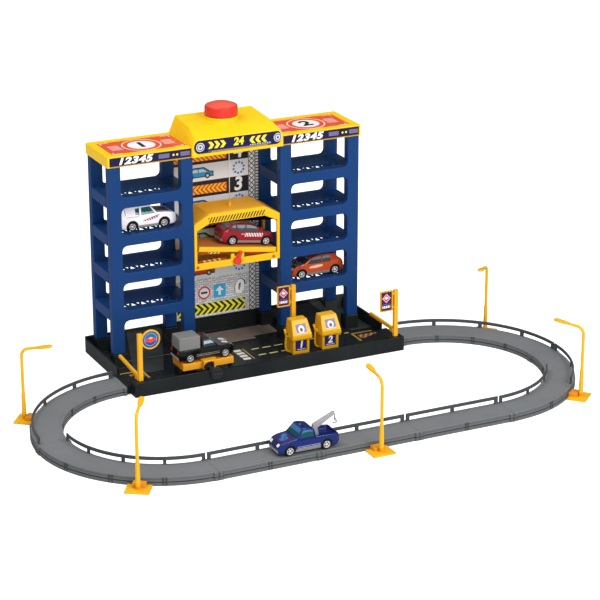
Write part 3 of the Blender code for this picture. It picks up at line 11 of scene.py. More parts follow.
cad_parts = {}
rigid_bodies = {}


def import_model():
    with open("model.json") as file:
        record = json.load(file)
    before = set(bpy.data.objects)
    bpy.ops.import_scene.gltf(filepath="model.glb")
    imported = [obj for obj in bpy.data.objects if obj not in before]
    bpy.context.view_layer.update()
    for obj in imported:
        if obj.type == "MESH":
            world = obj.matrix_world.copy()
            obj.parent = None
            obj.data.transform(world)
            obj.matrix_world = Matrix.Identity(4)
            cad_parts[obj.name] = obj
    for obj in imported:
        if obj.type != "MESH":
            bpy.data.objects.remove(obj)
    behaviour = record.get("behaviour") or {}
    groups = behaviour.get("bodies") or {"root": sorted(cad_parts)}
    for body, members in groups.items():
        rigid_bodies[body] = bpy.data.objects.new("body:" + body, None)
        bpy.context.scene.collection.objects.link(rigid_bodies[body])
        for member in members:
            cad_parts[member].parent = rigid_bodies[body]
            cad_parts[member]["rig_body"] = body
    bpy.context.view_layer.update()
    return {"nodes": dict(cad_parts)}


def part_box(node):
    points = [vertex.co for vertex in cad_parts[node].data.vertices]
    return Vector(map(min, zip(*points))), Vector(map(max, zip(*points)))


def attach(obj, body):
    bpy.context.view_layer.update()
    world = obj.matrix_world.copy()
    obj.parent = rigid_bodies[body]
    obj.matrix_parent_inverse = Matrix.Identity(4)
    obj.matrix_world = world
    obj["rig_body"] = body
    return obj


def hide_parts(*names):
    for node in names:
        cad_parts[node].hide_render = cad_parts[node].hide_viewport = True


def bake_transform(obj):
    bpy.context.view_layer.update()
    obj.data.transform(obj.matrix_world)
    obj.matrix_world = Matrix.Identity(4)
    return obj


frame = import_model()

# The garage stands on a white table in even studio light. The camera looks from the front left,
# a little from above, through a long lens, as the photograph was taken.
MM = 0.001
FLAT = 0.9


def placed(name, data):
    """A new object of the scene."""
    made = bpy.data.objects.new(name, data)
    bpy.context.scene.collection.objects.link(made)
    return made


def aimed(name, data, spot, aim):
    """A camera or a lamp that looks from one spot to another, in metres."""
    made = placed(name, data)
    made.location = spot
    made.rotation_euler = (Vector(aim) - Vector(spot)).to_track_quat("-Z", "Y").to_euler()
    return made


camera = aimed("camera", bpy.data.cameras.new("camera"), (-1.00143, -2.21111, 0.94457),
               (0.03377, -0.0792, 0.08432))
camera.data.sensor_width = 36
camera.data.lens = 132.7
camera.data.clip_end = 50
bpy.context.scene.camera = camera
bpy.context.scene.view_settings.view_transform = "Standard"


class Value:
    """A number at each point of a surface. Arithmetic on it adds Math nodes to its finish."""

    def __init__(self, finish, socket):
        self.finish = finish
        self.socket = socket

    def math(self, operation, other=None, swap=False):
        """One Math node on this value and another."""
        pair = (other, self) if swap else (self, other)
        given = {i: value for i, value in enumerate(pair) if value is not None}
        return Value(self.finish, self.finish.node("Math", {"operation": operation}, given).outputs[0])

    __add__ = __radd__ = partialmethod(math, "ADD")
    __sub__ = partialmethod(math, "SUBTRACT")
    __rsub__ = partialmethod(math, "SUBTRACT", swap=True)
    __mul__ = __rmul__ = partialmethod(math, "MULTIPLY")
    __truediv__ = partialmethod(math, "DIVIDE")
    __mod__ = partialmethod(math, "FLOORED_MODULO")
    __lt__ = partialmethod(math, "LESS_THAN")
    __gt__ = partialmethod(math, "GREATER_THAN")
    __abs__ = partialmethod(math, "ABSOLUTE")

    def within(self, low, high):
        """1 where the value lies between two bounds."""
        return (self > low) * (self < high)

    def either(self, other):
        """The larger of two values, which joins two masks."""
        return self.math("MAXIMUM", other)


def disc(u, v, centre, radius, hole=0):
    """1 inside a circle on two axes, or in a ring where it has a hole."""
    across, up = u - centre[0], v - centre[1]
    reach = across * across + up * up
    inside = reach < radius * radius
    return inside * (reach > hole * hole) if hole else inside


def field(u, v, low, high):
    """1 inside a rectangle on two axes."""
    return u.within(low[0], high[0]) * v.within(low[1], high[1])


class Finish:
    """A surface: one Principled shader, and the nodes that vary it over the piece in millimetres."""

    def __init__(self, name, colour, roughness, metallic=0, coat=0):
        self.material = bpy.data.materials.new(name)
        self.material.use_nodes = True
        self.tree = self.material.node_tree
        self.shader = self.tree.nodes["Principled BSDF"]
        for label, value in (("Metallic", metallic), ("Coat Weight", coat), ("Coat Roughness", 0.12),
                            ("Specular IOR Level", 0.16)):
            self.put(label, value)
        coords = self.node("TexCoord", {}, {})
        self.place = coords.outputs["Object"]
        axes = self.node("SeparateXYZ", {}, {"Vector": self.place})
        self.axes = self.x, self.y, self.z = [Value(self, axes.outputs[k]) * 1000 for k in "XYZ"]
        sides = self.node("SeparateXYZ", {}, {"Vector": coords.outputs["Normal"]})
        self.to_y, self.to_z = [Value(self, sides.outputs[k]) for k in "YZ"]
        self.cover((*colour, 1))
        self.polish(roughness)

    def feed(self, socket, value):
        """Links a value to a socket, or sets the socket where it is a plain number or colour."""
        if isinstance(value, Value):
            value = value.socket
        if isinstance(value, bpy.types.NodeSocket):
            self.tree.links.new(value, socket)
        else:
            socket.default_value = value

    def put(self, name, value):
        """Feeds an input of the surface's shader."""
        self.feed(self.shader.inputs[name], value)

    def node(self, kind, settings, sockets):
        """A shader node of a type, with its settings first and then its sockets."""
        made = self.tree.nodes.new("ShaderNode" + kind)
        for setting, value in settings.items():
            setattr(made, setting, value)
        for socket, value in sockets.items():
            self.feed(made.inputs[socket], value)
        return made

    def noise(self, scale, detail=2, stretch=(1, 1, 1)):
        """Cloudy values about 0.5, with a scale per metre."""
        place = self.place
        if stretch != (1, 1, 1):
            place = self.node("VectorMath", {"operation": "MULTIPLY"}, {0: place, 1: stretch}).outputs[0]
        made = self.node("TexNoise", {}, {"Vector": place, "Scale": scale, "Detail": detail})
        return Value(self, made.outputs[0])

    def mix(self, mask, *colours):
        """A colour that goes from one to another with a mask."""
        under, over = [(*c, 1) if isinstance(c, tuple) and len(c) == 3 else c for c in colours]
        return self.node("Mix", {"data_type": "RGBA"}, {0: mask, 6: under, 7: over}).outputs[2]

    def cover(self, colour):
        """Sets the colour of the whole surface."""
        self.colour = colour
        self.put("Base Color", colour)

    def paint(self, mask, colour):
        """Lays a colour over the surface where the mask is 1."""
        self.cover(self.mix(mask, self.colour, colour))

    def marks(self, place, *marks):
        """Paints marks, each a mask and a colour, inside one place."""
        for mask, colour in marks:
            self.paint(place * mask, colour)

    def polish(self, roughness):
        """Sets the roughness, to a number or to a value that varies."""
        self.put("Roughness", roughness)

    def emboss(self, height, depth):
        """Raises the surface by a height from 0 to 1 times a depth in metres."""
        bump = self.node("Bump", {}, {"Height": height, "Distance": depth, "Strength": 1})
        self.put("Normal", bump.outputs[0])

    def tops(self):
        """1 on faces that look up."""
        return self.to_z > FLAT

    def fronts(self):
        """1 on faces that look to the front."""
        return self.to_y < -FLAT


def moulded(name, colour, roughness=0.34, cloud=0.06, grain=0.00002, coat=0):
    """Injection moulded plastic: flow clouds in its colour, uneven gloss and a fine mould grain."""
    finish = Finish(name, colour, roughness, coat=coat)
    flow = finish.noise(14, 3, (1, 1, 0.35))
    deep = tuple(c * (1 - 2.2 * cloud) for c in colour)
    light = tuple(min(1, c * (1 + cloud) + 0.15 * cloud) for c in colour)
    finish.cover(finish.mix(flow, deep, light))
    speck = finish.noise(2600, 2)
    finish.polish(roughness + (flow - 0.5) * 0.16 + (speck - 0.5) * 0.1)
    finish.emboss(speck + flow * 2, grain)
    return finish


floor_mesh = bmesh.new()
ops.create_grid(floor_mesh, x_segments=1, y_segments=1, size=6)
table = placed("white_table", bpy.data.meshes.new("white_table"))
floor_mesh.to_mesh(table.data)
floor_mesh.free()
table.location = (0, 0, -0.0002)
paper = Finish("white table", (0.93, 0.93, 0.93), 0.9)
paper.put("Specular IOR Level", 0)
paper.paint(paper.noise(3) * 0.4, (0.95, 0.95, 0.95))
seen = paper.node("LightPath", {}, {})
paper.paint(Value(paper, seen.outputs["Is Glossy Ray"]), (0.26, 0.26, 0.26))
to_eye = Value(paper, seen.outputs["Is Camera Ray"])
paper.put("Emission Color", paper.mix(to_eye, (0, 0, 0), (0.5, 0.5, 0.5)))
paper.put("Emission Strength", 1)
table.data.materials.append(paper.material)

world = bpy.data.worlds.new("studio")
world.use_nodes = True
bpy.context.scene.world = world


def in_world(kind, *sources):
    """A node of the world's shader, with outputs of other nodes linked to its inputs."""
    made = world.node_tree.nodes.new("ShaderNode" + kind)
    for socket, source in zip(made.inputs, sources):
        world.node_tree.links.new(source, socket)
    return made


def glow(strength):
    """Even white light from all sides."""
    made = in_world("Background")
    made.inputs["Color"].default_value = (1, 1, 1, 1)
    made.inputs["Strength"].default_value = strength
    return made.outputs[0]


ray = in_world("LightPath").outputs
clear = in_world("Math", ray["Is Camera Ray"], ray["Is Transmission Ray"])
clear.operation = "MAXIMUM"
mirrored = in_world("MixShader", ray["Is Glossy Ray"], glow(0.55), glow(0.07))
choice = in_world("MixShader", clear.outputs[0], mirrored.outputs[0], glow(1))
world.node_tree.links.new(choice.outputs[0], world.node_tree.nodes["World Output"].inputs["Surface"])
for label, spot, aim, size, power in (
        ("key", (0.75, -1.9, 1.7), (0, -0.05, 0.08), 1.1, 33),
        ("fill", (-0.3, -2.3, 0.45), (0, -0.05, 0.1), 1.4, 15),
        ("top", (-0.7, 0.1, 2), (0, -0.1, 0), 1.5, 22)):
    lamp = aimed(label, bpy.data.lights.new(label, "AREA"), spot, aim)
    lamp.data.size = size
    lamp.data.energy = power

# The pieces come from the helpers below. They round edges as a mould does, turn a mesh into an
# object on its body, or take up the shape of a CAD node. Their lengths are in millimetres.
SHARP = radians(28)
FILM = 0.08
UPRIGHT = Matrix.Rotation(radians(90), 4, "X")


def shift(x, y, z):
    """The matrix of a move."""
    return Matrix.Translation(Vector((x, y, z)) * MM)


def settle(name, mesh, finish, body, slot, nodes=(), smooth=40, weighted=True, home=None):
    """Turns a mesh into a finished piece that rides on a body and stands for CAD nodes."""
    if home is not None:
        ops.transform(mesh, matrix=home, verts=mesh.verts)
        ops.recalc_face_normals(mesh, faces=mesh.faces)
    data = bpy.data.meshes.new(name)
    mesh.to_mesh(data)
    mesh.free()
    data.materials.append(finish.material)
    data.shade_smooth()
    data.set_sharp_from_angle(angle=radians(smooth))
    piece = placed(name, data)
    if weighted:
        even = piece.modifiers.new("even", "WEIGHTED_NORMAL")
        even.keep_sharp = True
    if body:
        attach(piece, body)
    if nodes:
        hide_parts(*nodes)
    return piece


def bevel(mesh, edges, width, steps, profile=0.5):
    """Rounds some edges of a mesh."""
    ops.bevel(mesh, geom=edges, offset=width * MM, segments=steps, profile=profile, affect="EDGES",
              clamp_overlap=False, material=-1)


def soften(mesh, width, steps=2, fine=None):
    """Rounds the sharp edges of a mesh, as a mould does, more finely beside a step or recess."""
    sharp = [e for e in mesh.edges if e.is_manifold and e.calc_face_angle() > SHARP]
    wide, narrow = sharp, []
    if fine:
        hollow = [v.co for e in sharp if e.calc_face_angle_signed() < 0 for v in e.verts]
        tree = KDTree(max(1, len(hollow)))
        for number, spot in enumerate(hollow):
            tree.insert(spot, number)
        tree.balance()
        reach, slim = 2.5 * width * MM, 2.2 * width * MM
        near = [min(f.calc_area() for f in e.link_faces) < slim * e.calc_length()
                or (hollow and any(tree.find(v.co)[2] < reach for v in e.verts)) for e in sharp]
        wide = [e for e, beside in zip(sharp, near) if not beside]
        narrow = [e for e, beside in zip(sharp, near) if beside]
    for edges, offset, rounds in ((wide, width, steps), (narrow, fine, 1)):
        kept = [e for e in edges if e.is_valid]
        if kept:
            bevel(mesh, kept, offset, rounds)
    return mesh


def cast(node, finish, slot, width=0.4, steps=2, fine=None):
    """The moulding that a CAD node describes, with its edges rounded."""
    source = frame["nodes"][node]
    mesh = bmesh.new()
    mesh.from_mesh(source.data)
    ops.remove_doubles(mesh, verts=mesh.verts, dist=2e-6)
    ops.dissolve_limit(mesh, angle_limit=radians(1), verts=mesh.verts, edges=mesh.edges)
    settle(node + "_moulding", soften(mesh, width, steps, fine), finish, source["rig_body"], slot, (node,))


def rod(mesh, start, end, radius, sides=24, far=None):
    """Adds a round bar between two points, or a cone where its far radius differs."""
    start, end = Vector(start) * MM, Vector(end) * MM
    turn = Vector((0, 0, 1)).rotation_difference(end - start).to_matrix().to_4x4()
    made = ops.create_cone(mesh, cap_ends=True, segments=sides, radius1=radius * MM,
                           radius2=(far or radius) * MM, depth=(end - start).length)
    ops.transform(mesh, matrix=Matrix.Translation((start + end) / 2) @ turn, verts=made["verts"])


def block(mesh, low, high):
    """Adds a block between two corners."""
    low, high = Vector(low) * MM, Vector(high) * MM
    made = ops.create_cube(mesh, size=1)
    ops.scale(mesh, vec=high - low, verts=made["verts"])
    ops.translate(mesh, vec=(low + high) / 2, verts=made["verts"])
    return made["verts"]


def pull(mesh, faces, way):
    """Draws faces out of a mesh along a vector."""
    made = ops.extrude_face_region(mesh, geom=faces)
    moved = [g for g in made["geom"] if isinstance(g, bmesh.types.BMVert)]
    ops.translate(mesh, vec=Vector(way) * MM, verts=moved)


def prism(mesh, points, way):
    """Adds a flat polygon drawn out along a vector."""
    pull(mesh, [mesh.faces.new([mesh.verts.new(Vector(point) * MM) for point in points])], way)


def lathe(mesh, points, centre, axis, steps=48):
    """Turns a line of (radius, height) points round an axis through a centre."""
    axis = Vector(axis).normalized()
    away = axis.orthogonal().normalized()
    centre = Vector(centre) * MM
    corners = [mesh.verts.new(centre + away * (r * MM) + axis * (h * MM)) for r, h in points]
    line = [mesh.edges.new(pair) for pair in zip(corners, corners[1:])]
    ops.spin(mesh, geom=corners + line, cent=centre, axis=axis, angle=2 * pi, steps=steps,
             use_merge=True)
    ops.remove_doubles(mesh, verts=mesh.verts, dist=1e-7)
    ops.recalc_face_normals(mesh, faces=mesh.faces)


def figure(name, text, size, spot, finish, slot, lean=0, bold=0.02, turn=UPRIGHT, apart=1, wide=1):
    """A plain number cut from thin film, upright or turned, with its foot towards the reader."""
    words = bpy.data.curves.new(name, "FONT")
    words.body = text
    words.size = size * MM
    words.align_x = words.align_y = "CENTER"
    words.extrude = FILM * MM
    words.offset = bold * size * MM
    words.shear = lean
    words.space_character = apart
    holder = placed(name, words)
    graph = bpy.context.evaluated_depsgraph_get()
    film = bpy.data.meshes.new_from_object(holder.evaluated_get(graph))
    bpy.data.objects.remove(holder)
    mesh = bmesh.new()
    mesh.from_mesh(film)
    ops.remove_doubles(mesh, verts=mesh.verts, dist=1e-7)
    place = shift(*spot) @ turn @ Matrix.Diagonal((wide, 1, 1, 1))
    settle(name, mesh, finish, "root", slot, weighted=False, home=place)


# The base is one charcoal moulding: a tray with a low rim, pedestals for the towers' feet and a
# ramp at each port. Lane marks, entry marks and a lift pad are printed on its floor.
charcoal = moulded("charcoal tray", (0.0065, 0.0095, 0.01), 0.26, 0.1, 0.00001, coat=0.06)
x, y, z = charcoal.axes
up = charcoal.tops()
# Painted sheen: lighter fields on the floor and the rear wall, at the left and at the right, are a painted
# reflection of light on the glossy charcoal.
light = (y > -20) * (x > y * 0.3 - 141.5) * (x < y * 0.39 - 103.4)
light = light.either((y > -1) * (x > 141 - y * 0.25) * (x < 170))
lit = (charcoal.fronts() * (y > 60)).either(up * (z < 22))
charcoal.paint(lit * light * 0.7, (0.06, 0.067, 0.066))
on_floor = z.within(2.8, 3.3) * up
for low, high in (((6, -7), (134, -4.6)), ((6, -27), (58, -24.6))):
    charcoal.paint(on_floor * field(x, y, low, high) * (x % 15.5 > 4.5), (0.75, 0.66, 0.2))
bars = field(x, y, (-17, -34), (-5, 1)) * (y % 9 > 2.6) * (abs(x + 11) < 4.6)
charcoal.marks(on_floor, (bars, (0.74, 0.74, 0.72)),
               (field(x, y, (-3.5, -34), (-2.4, 1)), (0.6, 0.4, 0.1)))
on_ramp = z.within(2.8, 10.4) * up
for left in (-162, 134):
    rim = field(x, y, (left, -36), (left + 28, -10)) * (y > -12.8).either(x.within(-136.8, 136.8))
    mat = field(x, y, (left + 5, -32), (left + 24, -18))
    charcoal.marks(on_ramp, (rim * ((x + y) % 4.4 > 1.9), (0.7, 0.48, 0.05)), (mat, (0.22, 0.075, 0.03)),
                   (mat * ((x - y * 0.6) % 7 < 3), (0.5, 0.26, 0.13)))
pad = field(x, y, (-44, 34), (60, 64.5)).either(field(x, y, (-30, 26), (27, 34.5)))
dust = charcoal.noise(60, 3)
charcoal.paint(on_floor * pad, charcoal.mix(dust, (0.19, 0.155, 0.13), (0.27, 0.225, 0.19)))
cast("base_tray", charcoal, "charcoal_plastic", 0.6)

# Each tower is two blue ladder frames, front and rear, with four slotted decks pressed between
# them. All are moulded in one blue, with soft edges and a faint flow in the colour.
FIRST_DECK = 66.5
DECK_STEP = 44.9
blue = moulded("blue frames", (0.0025, 0.042, 0.172), 0.34, 0.07)
for side in ("left", "right"):
    for place in ("front", "rear"):
        cast(f"{side}_{place}_frame", blue, "blue_plastic", 0.7)
    for level in range(1, 5):
        cast(f"{side}_deck_{level}", blue, "blue_plastic", 0.3)
bosses = bmesh.new()
for wall, way in ((-59.4, 1), (50.2, -1)):
    for level in range(5):
        height = FIRST_DECK + DECK_STEP * level
        rod(bosses, (wall - way, 64.8, height), (wall + way * 0.4, 64.8, height), 1.6, 16)
settle("tower_clip_bosses", soften(bosses, 0.2), blue, "root", "blue_plastic")

# A yellow roof caps each tower. A red-orange landing print lies in a shallow recess on top, with a
# plain number in its white disc, and a dark printed strip runs along the front edge.
YELLOW = (0.97, 0.585, 0.006)
NAVY = (0.012, 0.012, 0.06)
PALE = (0.86, 0.82, 0.78)
AMBER_DOT = (0.9, 0.72, 0.1)
white_film = moulded("white film", (0.94, 0.94, 0.94), 0.35, 0.02)
ink = moulded("dark film", (0.02, 0.02, 0.026), 0.35, 0.04)
for side, middle, text in (("left", -108.3, "1"), ("right", 99.1, "2")):
    low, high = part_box(side + "_roof")
    start, end = low.x / MM + 2.5, high.x / MM - 2.5
    cap = moulded(side + " roof", YELLOW, 0.3, 0.04, coat=0.2)
    x, y, z = cap.axes
    centre = (middle, 39.8)
    across, along = abs(x - middle), abs(y - 39.8)
    corners = (across < 42.5) * (along < 23.5) * (1 - (across < 41.4) * (along < 22.4))
    hatch = across.within(25.5, 38.5) * (along < 9.5) * ((x + y * 0.3) % 2.6 < 0.9)
    cap.marks(cap.tops() * z.within(254.7, 255.2), (1, (0.72, 0.092, 0.034)),
              (corners * (across > 32) * (along > 17), PALE), (disc(x, y, centre, 22.8, 21.4), PALE),
              (disc(x, y, centre, 16), (0.86, 0.85, 0.82)), (hatch, (0.86, 0.8, 0.76)))
    split = start + 0.6 * (end - start)
    blocks = x.within(split, split + 13).either(x.within(end - 13, end - 1.5)) * z.within(246.5, 251.6)
    cap.paint(cap.fronts() * field(x, z, (start, 243), (end, 254.4)), (0.55, 0.27, 0.02))
    cap.marks(cap.fronts() * z.within(244.2, 253.9), (x.within(start, end), NAVY),
              (blocks * ((x + z) % 2.4 < 1.7), (0.22, 0.19, 0.36)),
              (disc(x, z, (split + 18, 249), 1.3), AMBER_DOT),
              (disc(x, z, (split + 22.5, 249), 1.3), AMBER_DOT))
    cast(side + "_roof", cap, "yellow_plastic", 0.6)
    figure(side + "_landing_number", text, 27, (middle, 39.8, 255.1), ink, "charcoal_plastic", bold=0.035,
           turn=Matrix())
    figure(side + "_bay_numbers", "12345", 10.6, (start + 30, low.y / MM - 0.1, 249), white_film,
           "printed_panel", 0.25, 0.045, apart=1.1, wide=1.45)

# The hood over the lift is one yellow moulding with a round-ended sign across its front. The sign
# is a dark film with a yellow number, plain arrows and two wheel marks.
hood = moulded("yellow hood", YELLOW, 0.28, 0.04, coat=0.25)
x, y, z = hood.axes
sign = (hood.to_y < -0.5) * (y < 2.35) * z.within(246.9, 262.3)
hood.marks(sign, (1, NAVY), (field(x, z, (-42, 248.5), (36, 249)), (0.33, 0.28, 0.48)),
           (field(x, z, (-38, 247.5), (32, 248.1)), (0.6, 0.42, 0.08)))
for middle in (-51.9, 45):
    hub = (middle, 254.6)
    dark = disc(x, z, hub, 4.2, 3.2).either(disc(x, z, hub, 1.4))
    hood.marks(sign, (disc(x, z, hub, 5.2), (0.62, 0.62, 0.66)), (dark, (0.06, 0.06, 0.12)))
for start, way in ((-39, 1), (9, -1)):
    slant = x + abs(z - 255.6) * (0.8 * way)
    arrows = ((slant - start) % 7.4 < 4.2) * slant.within(start, start + 21)
    hood.paint(sign * arrows * z.within(251.4, 259.8), (0.9, 0.72, 0.04))
hood.paint(sign * field(x, z, (10, 249.6), (36, 250.5)) * (x % 3.1 < 2), (0.72, 0.72, 0.76))
cast("lift_hood", hood, "yellow_plastic", 1, 3, 0.3)
yellow_film = moulded("yellow film", (0.92, 0.74, 0.03), 0.35, 0.02)
figure("sign_number", "24", 12.2, (-4.6, 1.9, 255.8), yellow_film, "yellow_plastic", 0.15, 0.04)

# The winch knob is a red turned-looking cap with a low dome, fixed on the spool's shaft. The spool
# under the hood is white, and a thin white cord runs from it over a peg to the lift's eyelet.
KNOB_FOOT = 277
red = moulded("red knob", (0.7, 0.036, 0.024), 0.3, 0.05, coat=0.2)
# The knob's upward faces are painted a lighter red, a painted highlight on its top.
red.paint((red.to_z > 0.85) * 0.8, (0.72, 0.115, 0.07))
low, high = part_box("winch_knob")
middle = ((low.x + high.x) / 2 / MM, (low.y + high.y) / 2 / MM)
knob = bmesh.new()
lathe(knob, [(0, 0), (18.6, 0), (19.3, 0.6), (19.5, 1.6), (19.3, 5), (19.25, 9.6), (18.9, 10.8),
             (18.1, 11.7), (16.8, 12.2), (13, 13.7), (8.5, 15), (4, 15.65), (0, 15.8)],
      (*middle, KNOB_FOOT), (0, 0, 1), 72)
settle("winch_knob_cap", knob, red, "winch", "red_plastic", ("winch_knob",), 50)
shaft = bmesh.new()
rod(shaft, (*middle, low.z / MM), (*middle, KNOB_FOOT + 1), 3, 32)
settle("winch_shaft", shaft, red, "winch", "red_plastic")
white = moulded("white spool", (0.72, 0.72, 0.69), 0.45, 0.04)
cast("winch_spool", white, "white_plastic", 0.2)

cord = Finish("white cord", (0.74, 0.73, 0.68), 0.8)
# The cord darkens across each turn of its lay, a painted shade in the creases between its strands; the bump
# follows the same lay.
lay = ((cord.z + cord.x * 1.2) % 1.1) / 1.1
cord.paint(lay * 0.6, (0.52, 0.5, 0.45))
cord.emboss(lay, 0.0001)
string = bmesh.new()
string.from_mesh(frame["nodes"]["hoist_string"].data)
ops.remove_doubles(string, verts=string.verts, dist=1e-7)
hoist = settle("hoist_cord", string, cord, None, "white_cord", ("hoist_string",), 180, False)
low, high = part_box("hoist_string")
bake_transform(hoist)

# The panel behind the lift is a printed card in a slot at the back of the shaft. Each floor has a
# number, a strip of arrows, a ring of dots and a plain car shape; a truss runs up its right edge.
FIRST_FLOOR = 73.5
FLOOR_STEP = 40
PICTURE = 21
BLACK = (0.03, 0.03, 0.03)
card = Finish("printed card", (0.74, 0.76, 0.78), 0.33, coat=0.3)
x, z = card.x, card.z
row = (z - FIRST_FLOOR) % FLOOR_STEP
upper = z > FIRST_FLOOR
picture = upper * (row < PICTURE)
card.paint(card.noise(22, 2), (0.86, 0.87, 0.88))
card.paint(upper * (row > PICTURE), (0.02, 0.02, 0.024))
card.paint(row / PICTURE * picture * 0.45, (0.46, 0.48, 0.51))
brick_place = card.node("CombineXYZ", {}, {"X": x, "Y": z}).outputs[0]
bricks = card.node("TexBrick", {}, {
    "Vector": brick_place, "Scale": 0.11, "Color1": (0.56, 0.57, 0.59, 1), "Color2": (0.84, 0.85, 0.86, 1),
    "Mortar": (0.2, 0.2, 0.22, 1), "Mortar Size": 0.024, "Brick Width": 0.62, "Row Height": 0.3}).outputs[0]
card.paint(z < 73, bricks)
arrows = row.within(24.4, 34.8) * ((x - abs(row - 29.5)) % 5.6 < 3) * x.within(-58, 8)
edges = (abs(row - 39.6) < 0.7).either(abs(row - 21.2) < 0.45)
card.marks(upper, (edges, (0.015, 0.015, 0.02)), (field(x, row, (-58, 24), (9, 35.2)), (0.72, 0.05, 0.02)),
           (arrows, (0.93, 0.58, 0.03)))
card.marks(field(x, z, (-57, 27.2), (31, 40.8)), (1, (0.02, 0.02, 0.02)),
           ((x + abs(z - 34)) % 7.6 < 3.9, (0.86, 0.8, 0.03)))
card.paint(field(x, z, (-10, 46.5), (6, 62.5)), (0.05, 0.42, 0.72))
pointer = (abs(x + 2) * 1.1 + z < 60.5) * z.within(54.5, 60.5)
card.paint(pointer.either(field(x, z, (-3.6, 49), (-0.4, 55))), (0.85, 0.87, 0.9))
for middle in (-22, -42):
    card.paint(disc(x, z, (middle, 54.5), 8), (0.72, 0.04, 0.04))
    card.paint(disc(x, z, (middle, 54.5), 6.1), (0.82, 0.82, 0.82))
    card.paint(field(x, z, (middle - 4.2, 53.2), (middle + 4.2, 55.8)), BLACK)
side, rise = x - 24.5, row - 10.5
reach = (side * side + rise * rise).math("SQRT") - 6.6
swing = ((rise.math("ARCTAN2", side) + 6.4) % (pi / 5) - pi / 10) * 6.6
card.paint((swing * swing + reach * reach < 2.1) * picture, (0.03, 0.2, 0.6))
for level, tint in enumerate(((0.55, 0.05, 0.04), (0.06, 0.33, 0.1), (0.03, 0.2, 0.55), (0.03, 0.3, 0.55))):
    foot = FIRST_FLOOR + FLOOR_STEP * level + 4
    aside = abs(x + 27)
    slant = z + aside * 0.7
    for half, low, high, slope, top, colour in (
            (18.2, 0.4, 7.1, 17.6, 12.7, (0.012, 0.012, 0.016)), (17, 1.5, 6, 16, 11.5, tint)):
        hull = field(x, z, (-26 - half, foot + low), (-26 + half, foot + high))
        card.paint(hull.either((slant < foot + slope) * z.within(foot + 5.5, foot + top)), colour)
    card.paint((slant < foot + 14.3) * z.within(foot + 6.6, foot + 10.2) * (aside > 0.7), (0.55, 0.66, 0.72))
    for middle in (-36.5, -15.5):
        card.paint(disc(x, z, (middle, foot + 1.8), 3.4), BLACK)
        card.paint(disc(x, z, (middle, foot + 1.8), 1.6), (0.6, 0.6, 0.6))
card.paint(x > 36.6, (0.8, 0.81, 0.83))
for start in (0, 6):
    zigzag = abs(abs((z + start) % 12 - 6) * 1.1 - (x - 37.8)) < 0.75
    card.paint(zigzag * x.within(37.8, 44.4), (0.05, 0.05, 0.06))
card.paint((abs(x - 37.2) < 0.5).either(abs(x - 45) < 0.4), (0.1, 0.1, 0.12))
card.paint(x > 45.6, (0.12, 0.13, 0.15))
card.paint((x > 46.3) * (z % 3.6 < 1.9), (0.8, 0.8, 0.8))
card.paint(1 - (card.to_y < -0.5), (0.55, 0.55, 0.54))
card.polish(0.3 + (card.noise(180) - 0.5) * 0.12)
cast("shaft_panel", card, "printed_panel", 0.2)
for text, height, bold in (("4", 223.8, 0.03), ("3", 183.8, 0.03), ("2", 143.8, 0.03), ("1", 103.8, 0.03),
                           ("0", 55, 0.05)):
    figure("floor_number_" + text, text, 22.5, (23.5, 66.7, height), white_film, "printed_panel", 0.1, bold)
figure("floor_number_shade", "0", 22.5, (24, 66.78, 54.5), ink, "printed_panel", 0.1, 0.1)

# The lift is an orange body behind a yellow front frame. The frame's top bar carries printed hazard
# stripes, two red-brown studs hold it on below, and the tray inside rocks on a saddle.
TILT = radians(8.3)
TILTED = shift(-4.6, 0, 122.3) @ Matrix.Rotation(TILT, 4, "Y")
# Painted shade: a red-brown for the lift's orange inside where it lies in shadow.
SHADED_RED_BROWN = (0.42, 0.07, 0.016)
gate = moulded("yellow lift front", (0.86, 0.5, 0.006), 0.3, 0.04, coat=0.2)
x, y, z = gate.axes
bar = gate.fronts() * field(x, z, (-41, 161.9), (31, 168.2))
gate.paint(bar * ((x - z * 0.55 + 200) % 3.7 < 1.75), (0.035, 0.03, 0.025))
cast("lift_front", gate, "yellow_plastic", 0.5)
orange = moulded("orange lift body", (0.97, 0.46, 0.012), 0.36, 0.06)
cast("lift_cage", orange, "orange_plastic", 0.5, fine=0.1)
tray = moulded("yellow tray", (0.82, 0.48, 0.008), 0.32, 0.05)
# The tray's upward faces behind its front lip are painted a darker red-orange, a painted shade inside the
# lift.
tray.paint((tray.to_z > 0.8) * (tray.y > 9.6), (0.62, 0.2, 0.045))
cast("lift_tray", tray, "yellow_plastic", 0.4)
low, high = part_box("lift_front")
face = low.y / MM
studs = bmesh.new()
for across in (-55, 41.5):
    rod(studs, (across, face + 1, 109.5), (across, face - 0.3, 109.5), 2, 20)
brown = moulded("red-brown studs", (0.55, 0.12, 0.02), 0.35)
settle("lift_studs", soften(studs, 0.2), brown, "lift", "orange_plastic")

# The flaps are sheets in the gaps under the front frame, painted red-brown as painted shade of the lift's
# inside, with pale printed chevrons at the left.
flap = moulded("red-brown flap", SHADED_RED_BROWN, 0.4, 0.08)
across, rise = flap.x + 4.6, flap.z - 122.3
u = across * cos(TILT) - rise * sin(TILT)
v = across * sin(TILT) + rise * cos(TILT)
flap.paint(((u + abs(v + 2.2)) % 4.6 < 2) * field(u, v, (-36, -5.4), (-20, 1)), (0.95, 0.62, 0.3))
flaps = bmesh.new()
for a, b, drop_a, drop_b in ((-46, -10.5, 7.2, 5.2), (10.5, 46, 5.2, 7.2)):
    ends = ((a, 2.1), (a, 2.1 - drop_a), (b, 2.1 - drop_b), (b, 2.1))
    prism(flaps, [(along, 10.1, up) for along, up in ends], (0, 1, 0))
ops.recalc_face_normals(flaps, faces=flaps.faces)
settle("lift_tray_flaps", soften(flaps, 0.2), flap, "tray", "orange_plastic", home=TILTED)

